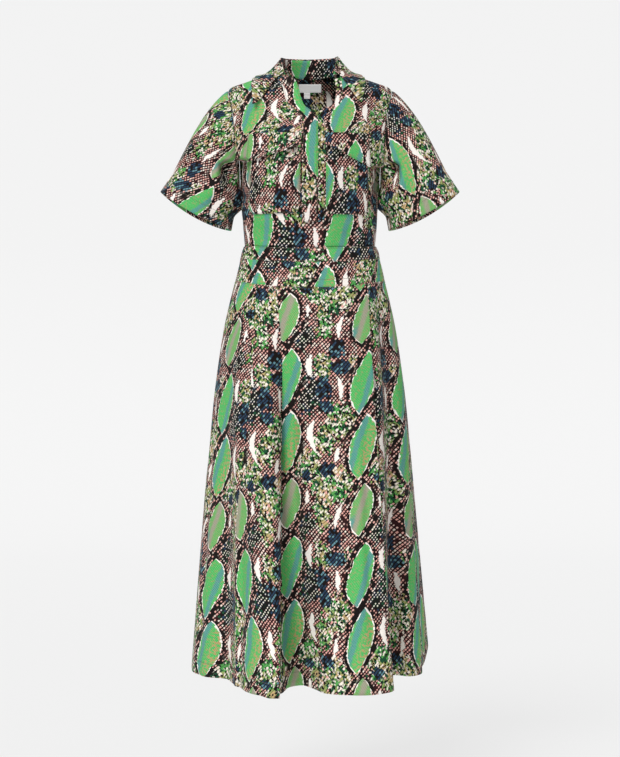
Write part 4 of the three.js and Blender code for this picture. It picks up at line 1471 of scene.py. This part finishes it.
def stitches(name, lines):
    """Rows of small rounded stitches that lie on the cloth, joined into one mesh."""
    verts, faces = [], []
    sides = STITCH_SIDES
    reach = STITCH["long"] / 2
    for points, normals in lines:
        along = line_lengths(points)
        count = int(along[-1] / (STITCH["long"] + STITCH["gap"]))
        for k in range(count):
            middle = (k + 0.5) * along[-1] / count
            start, end = (read_along(middle + step, along, points) for step in (-reach, reach))
            n = unit(read_along(middle, along, normals))
            t = unit(end - start)
            side = np.cross(n, t)
            centre = (start + end) / 2 + n * STITCH["lift"]
            base = len(verts)
            for far, full in STITCH_SHAPE:
                for angle in 2 * np.pi * np.arange(sides) / sides:
                    off = side * (math.cos(angle) * STITCH["wide"]) + n * (math.sin(angle) * STITCH["high"])
                    verts.append(centre + t * (far * STITCH["long"]) + off * full)
            last = base + (len(STITCH_SHAPE) - 1) * sides
            for ring in range(base, last, sides):
                for i in range(sides):
                    a, b = ring + i, ring + (i + 1) % sides
                    faces.append((a, b, b + sides, a + sides))
            faces.append(tuple(base + i for i in reversed(range(sides))))
            faces.append(tuple(last + i for i in range(sides)))
    corner_count = sum(len(f) for f in faces)
    new_object(name, np.array(verts), faces, np.zeros((corner_count, 2)), thread)


# ---------- the dress ----------
bodice_front()
bodice_back()
sleeve("right", 1)
sleeve("left", -1)
placket_over()
placket_under()
collar_stand()
collar_fall()
skirt_panel("front")
skirt_panel("back")
label("neck_label", half=23, middle=0, top=LABEL_TOP, height=LABEL_HEIGHT, columns=16)
label("size_tab", half=6, middle=-6, top=LABEL_TOP - LABEL_HEIGHT - SEAM, height=12, columns=6)
for pocket_row in POCKETS:
    pocket(pocket_row)
    flap(pocket_row)
for band_row in BAND_ROWS:
    for half in ("front", "back"):
        waistband(band_row, half)

EDGE = 6  # from a finished edge to its topstitching
CLOSE = 1.8  # from a seam to the stitching beside it
three_edges = ("left", "foot", "right")
trim_lines = [
    inset("placket_over", "left", CLOSE),
    inset("placket_over", "right", CLOSE + 1),
    inset("placket_over", "foot", 2),
    *(inset("collar_fall", edge, EDGE, trim=EDGE, back=True) for edge in ("foot", "left", "right")),
    inset("collar_stand", "foot", CLOSE, back=True),
]
bodice_lines, band_lines, skirt_lines = [], [], []
for side in ("left", "right"):
    trim_lines += [inset(f"pocket_{side}", edge, CLOSE, trim=CLOSE) for edge in three_edges]
    trim_lines += [inset(f"pocket_flap_{side}", edge, CLOSE + 1, trim=CLOSE + 1) for edge in three_edges]
    bodice_lines.append(inset(f"sleeve_{side}", "top", 24, around=True, flip=side == "left"))
for half in ("front", "back"):
    band_lines += [inset(f"waistband_upper_{half}", edge, CLOSE) for edge in ("top", "foot")]
    band_lines.append(inset(f"waistband_lower_{half}", "foot", EDGE + 9))
    skirt_lines += [inset(f"skirt_{half}", "foot", 26), inset(f"skirt_{half}", "top", CLOSE)]
stitches("stitches_trim", trim_lines)
stitches("stitches_bodice", bodice_lines)
stitches("stitches_band", band_lines)
stitches("stitches_skirt", skirt_lines)

# ---------- floor, light and camera ----------
scene = bpy.context.scene


def backdrop():
    """A floor that curves up into a wall, in metres."""
    floor_z, front_y, wall_y, top_z, half_width, bend = -1.46, -7, 6.6, 5.5, 7, 1.6
    arc = np.radians(np.linspace(0, 90, 25))
    ys = np.concatenate([[front_y], wall_y - bend + bend * np.sin(arc), [wall_y]])
    zs = np.concatenate([[floor_z], floor_z + bend - bend * np.cos(arc), [top_z]])
    verts = [(x, y, z) for x in (-half_width, half_width) for y, z in zip(ys, zs)]
    n = len(ys)
    mesh = bpy.data.meshes.new("backdrop")
    mesh.from_pydata(verts, [], [(i, i + n, i + n + 1, i + 1) for i in range(n - 1)])
    mesh.polygons.foreach_set("use_smooth", [True] * (n - 1))
    paper, net, shader = new_finish("paper")
    net.fill(shader, {
        "Base Color": (0.15, 0.15, 0.15, 1),
        "Roughness": 0.9,
        "Specular IOR Level": 0.0,
        "Emission Color": (1, 1, 1, 1),
        "Emission Strength": 0.73,
    })
    mesh.materials.append(paper)
    made = bpy.data.objects.new("backdrop", mesh)
    scene.collection.objects.link(made)


def sun(name, energy, toward, angle):
    light = bpy.data.lights.new(name, "SUN")
    light.energy = energy
    light.angle = math.radians(angle)
    made = bpy.data.objects.new(name, light)
    made.rotation_euler = Vector(toward).to_track_quat("-Z", "Y").to_euler()
    scene.collection.objects.link(made)


backdrop()
sun("key", 2.45, (0.36, 0.76, -0.84), 24)
sun("fill", 0.3, (-0.15, 1, -0.05), 60)
world = bpy.data.worlds.new("room")
world.use_nodes = True
sky = next(node for node in world.node_tree.nodes if node.type == "BACKGROUND")
Net(world.node_tree).fill(sky, {"Color": (1, 1, 1, 1), "Strength": 0.33})
scene.world = world
scene.view_settings.view_transform = "Standard"

camera_data = bpy.data.cameras.new("camera")
camera_data.sensor_width = 36
camera_data.lens = 83.22
camera = bpy.data.objects.new("camera", camera_data)
camera.location = (0, -3.5, -0.604)
camera.rotation_euler = (math.radians(90), 0, 0)
scene.collection.objects.link(camera)
scene.camera = camera
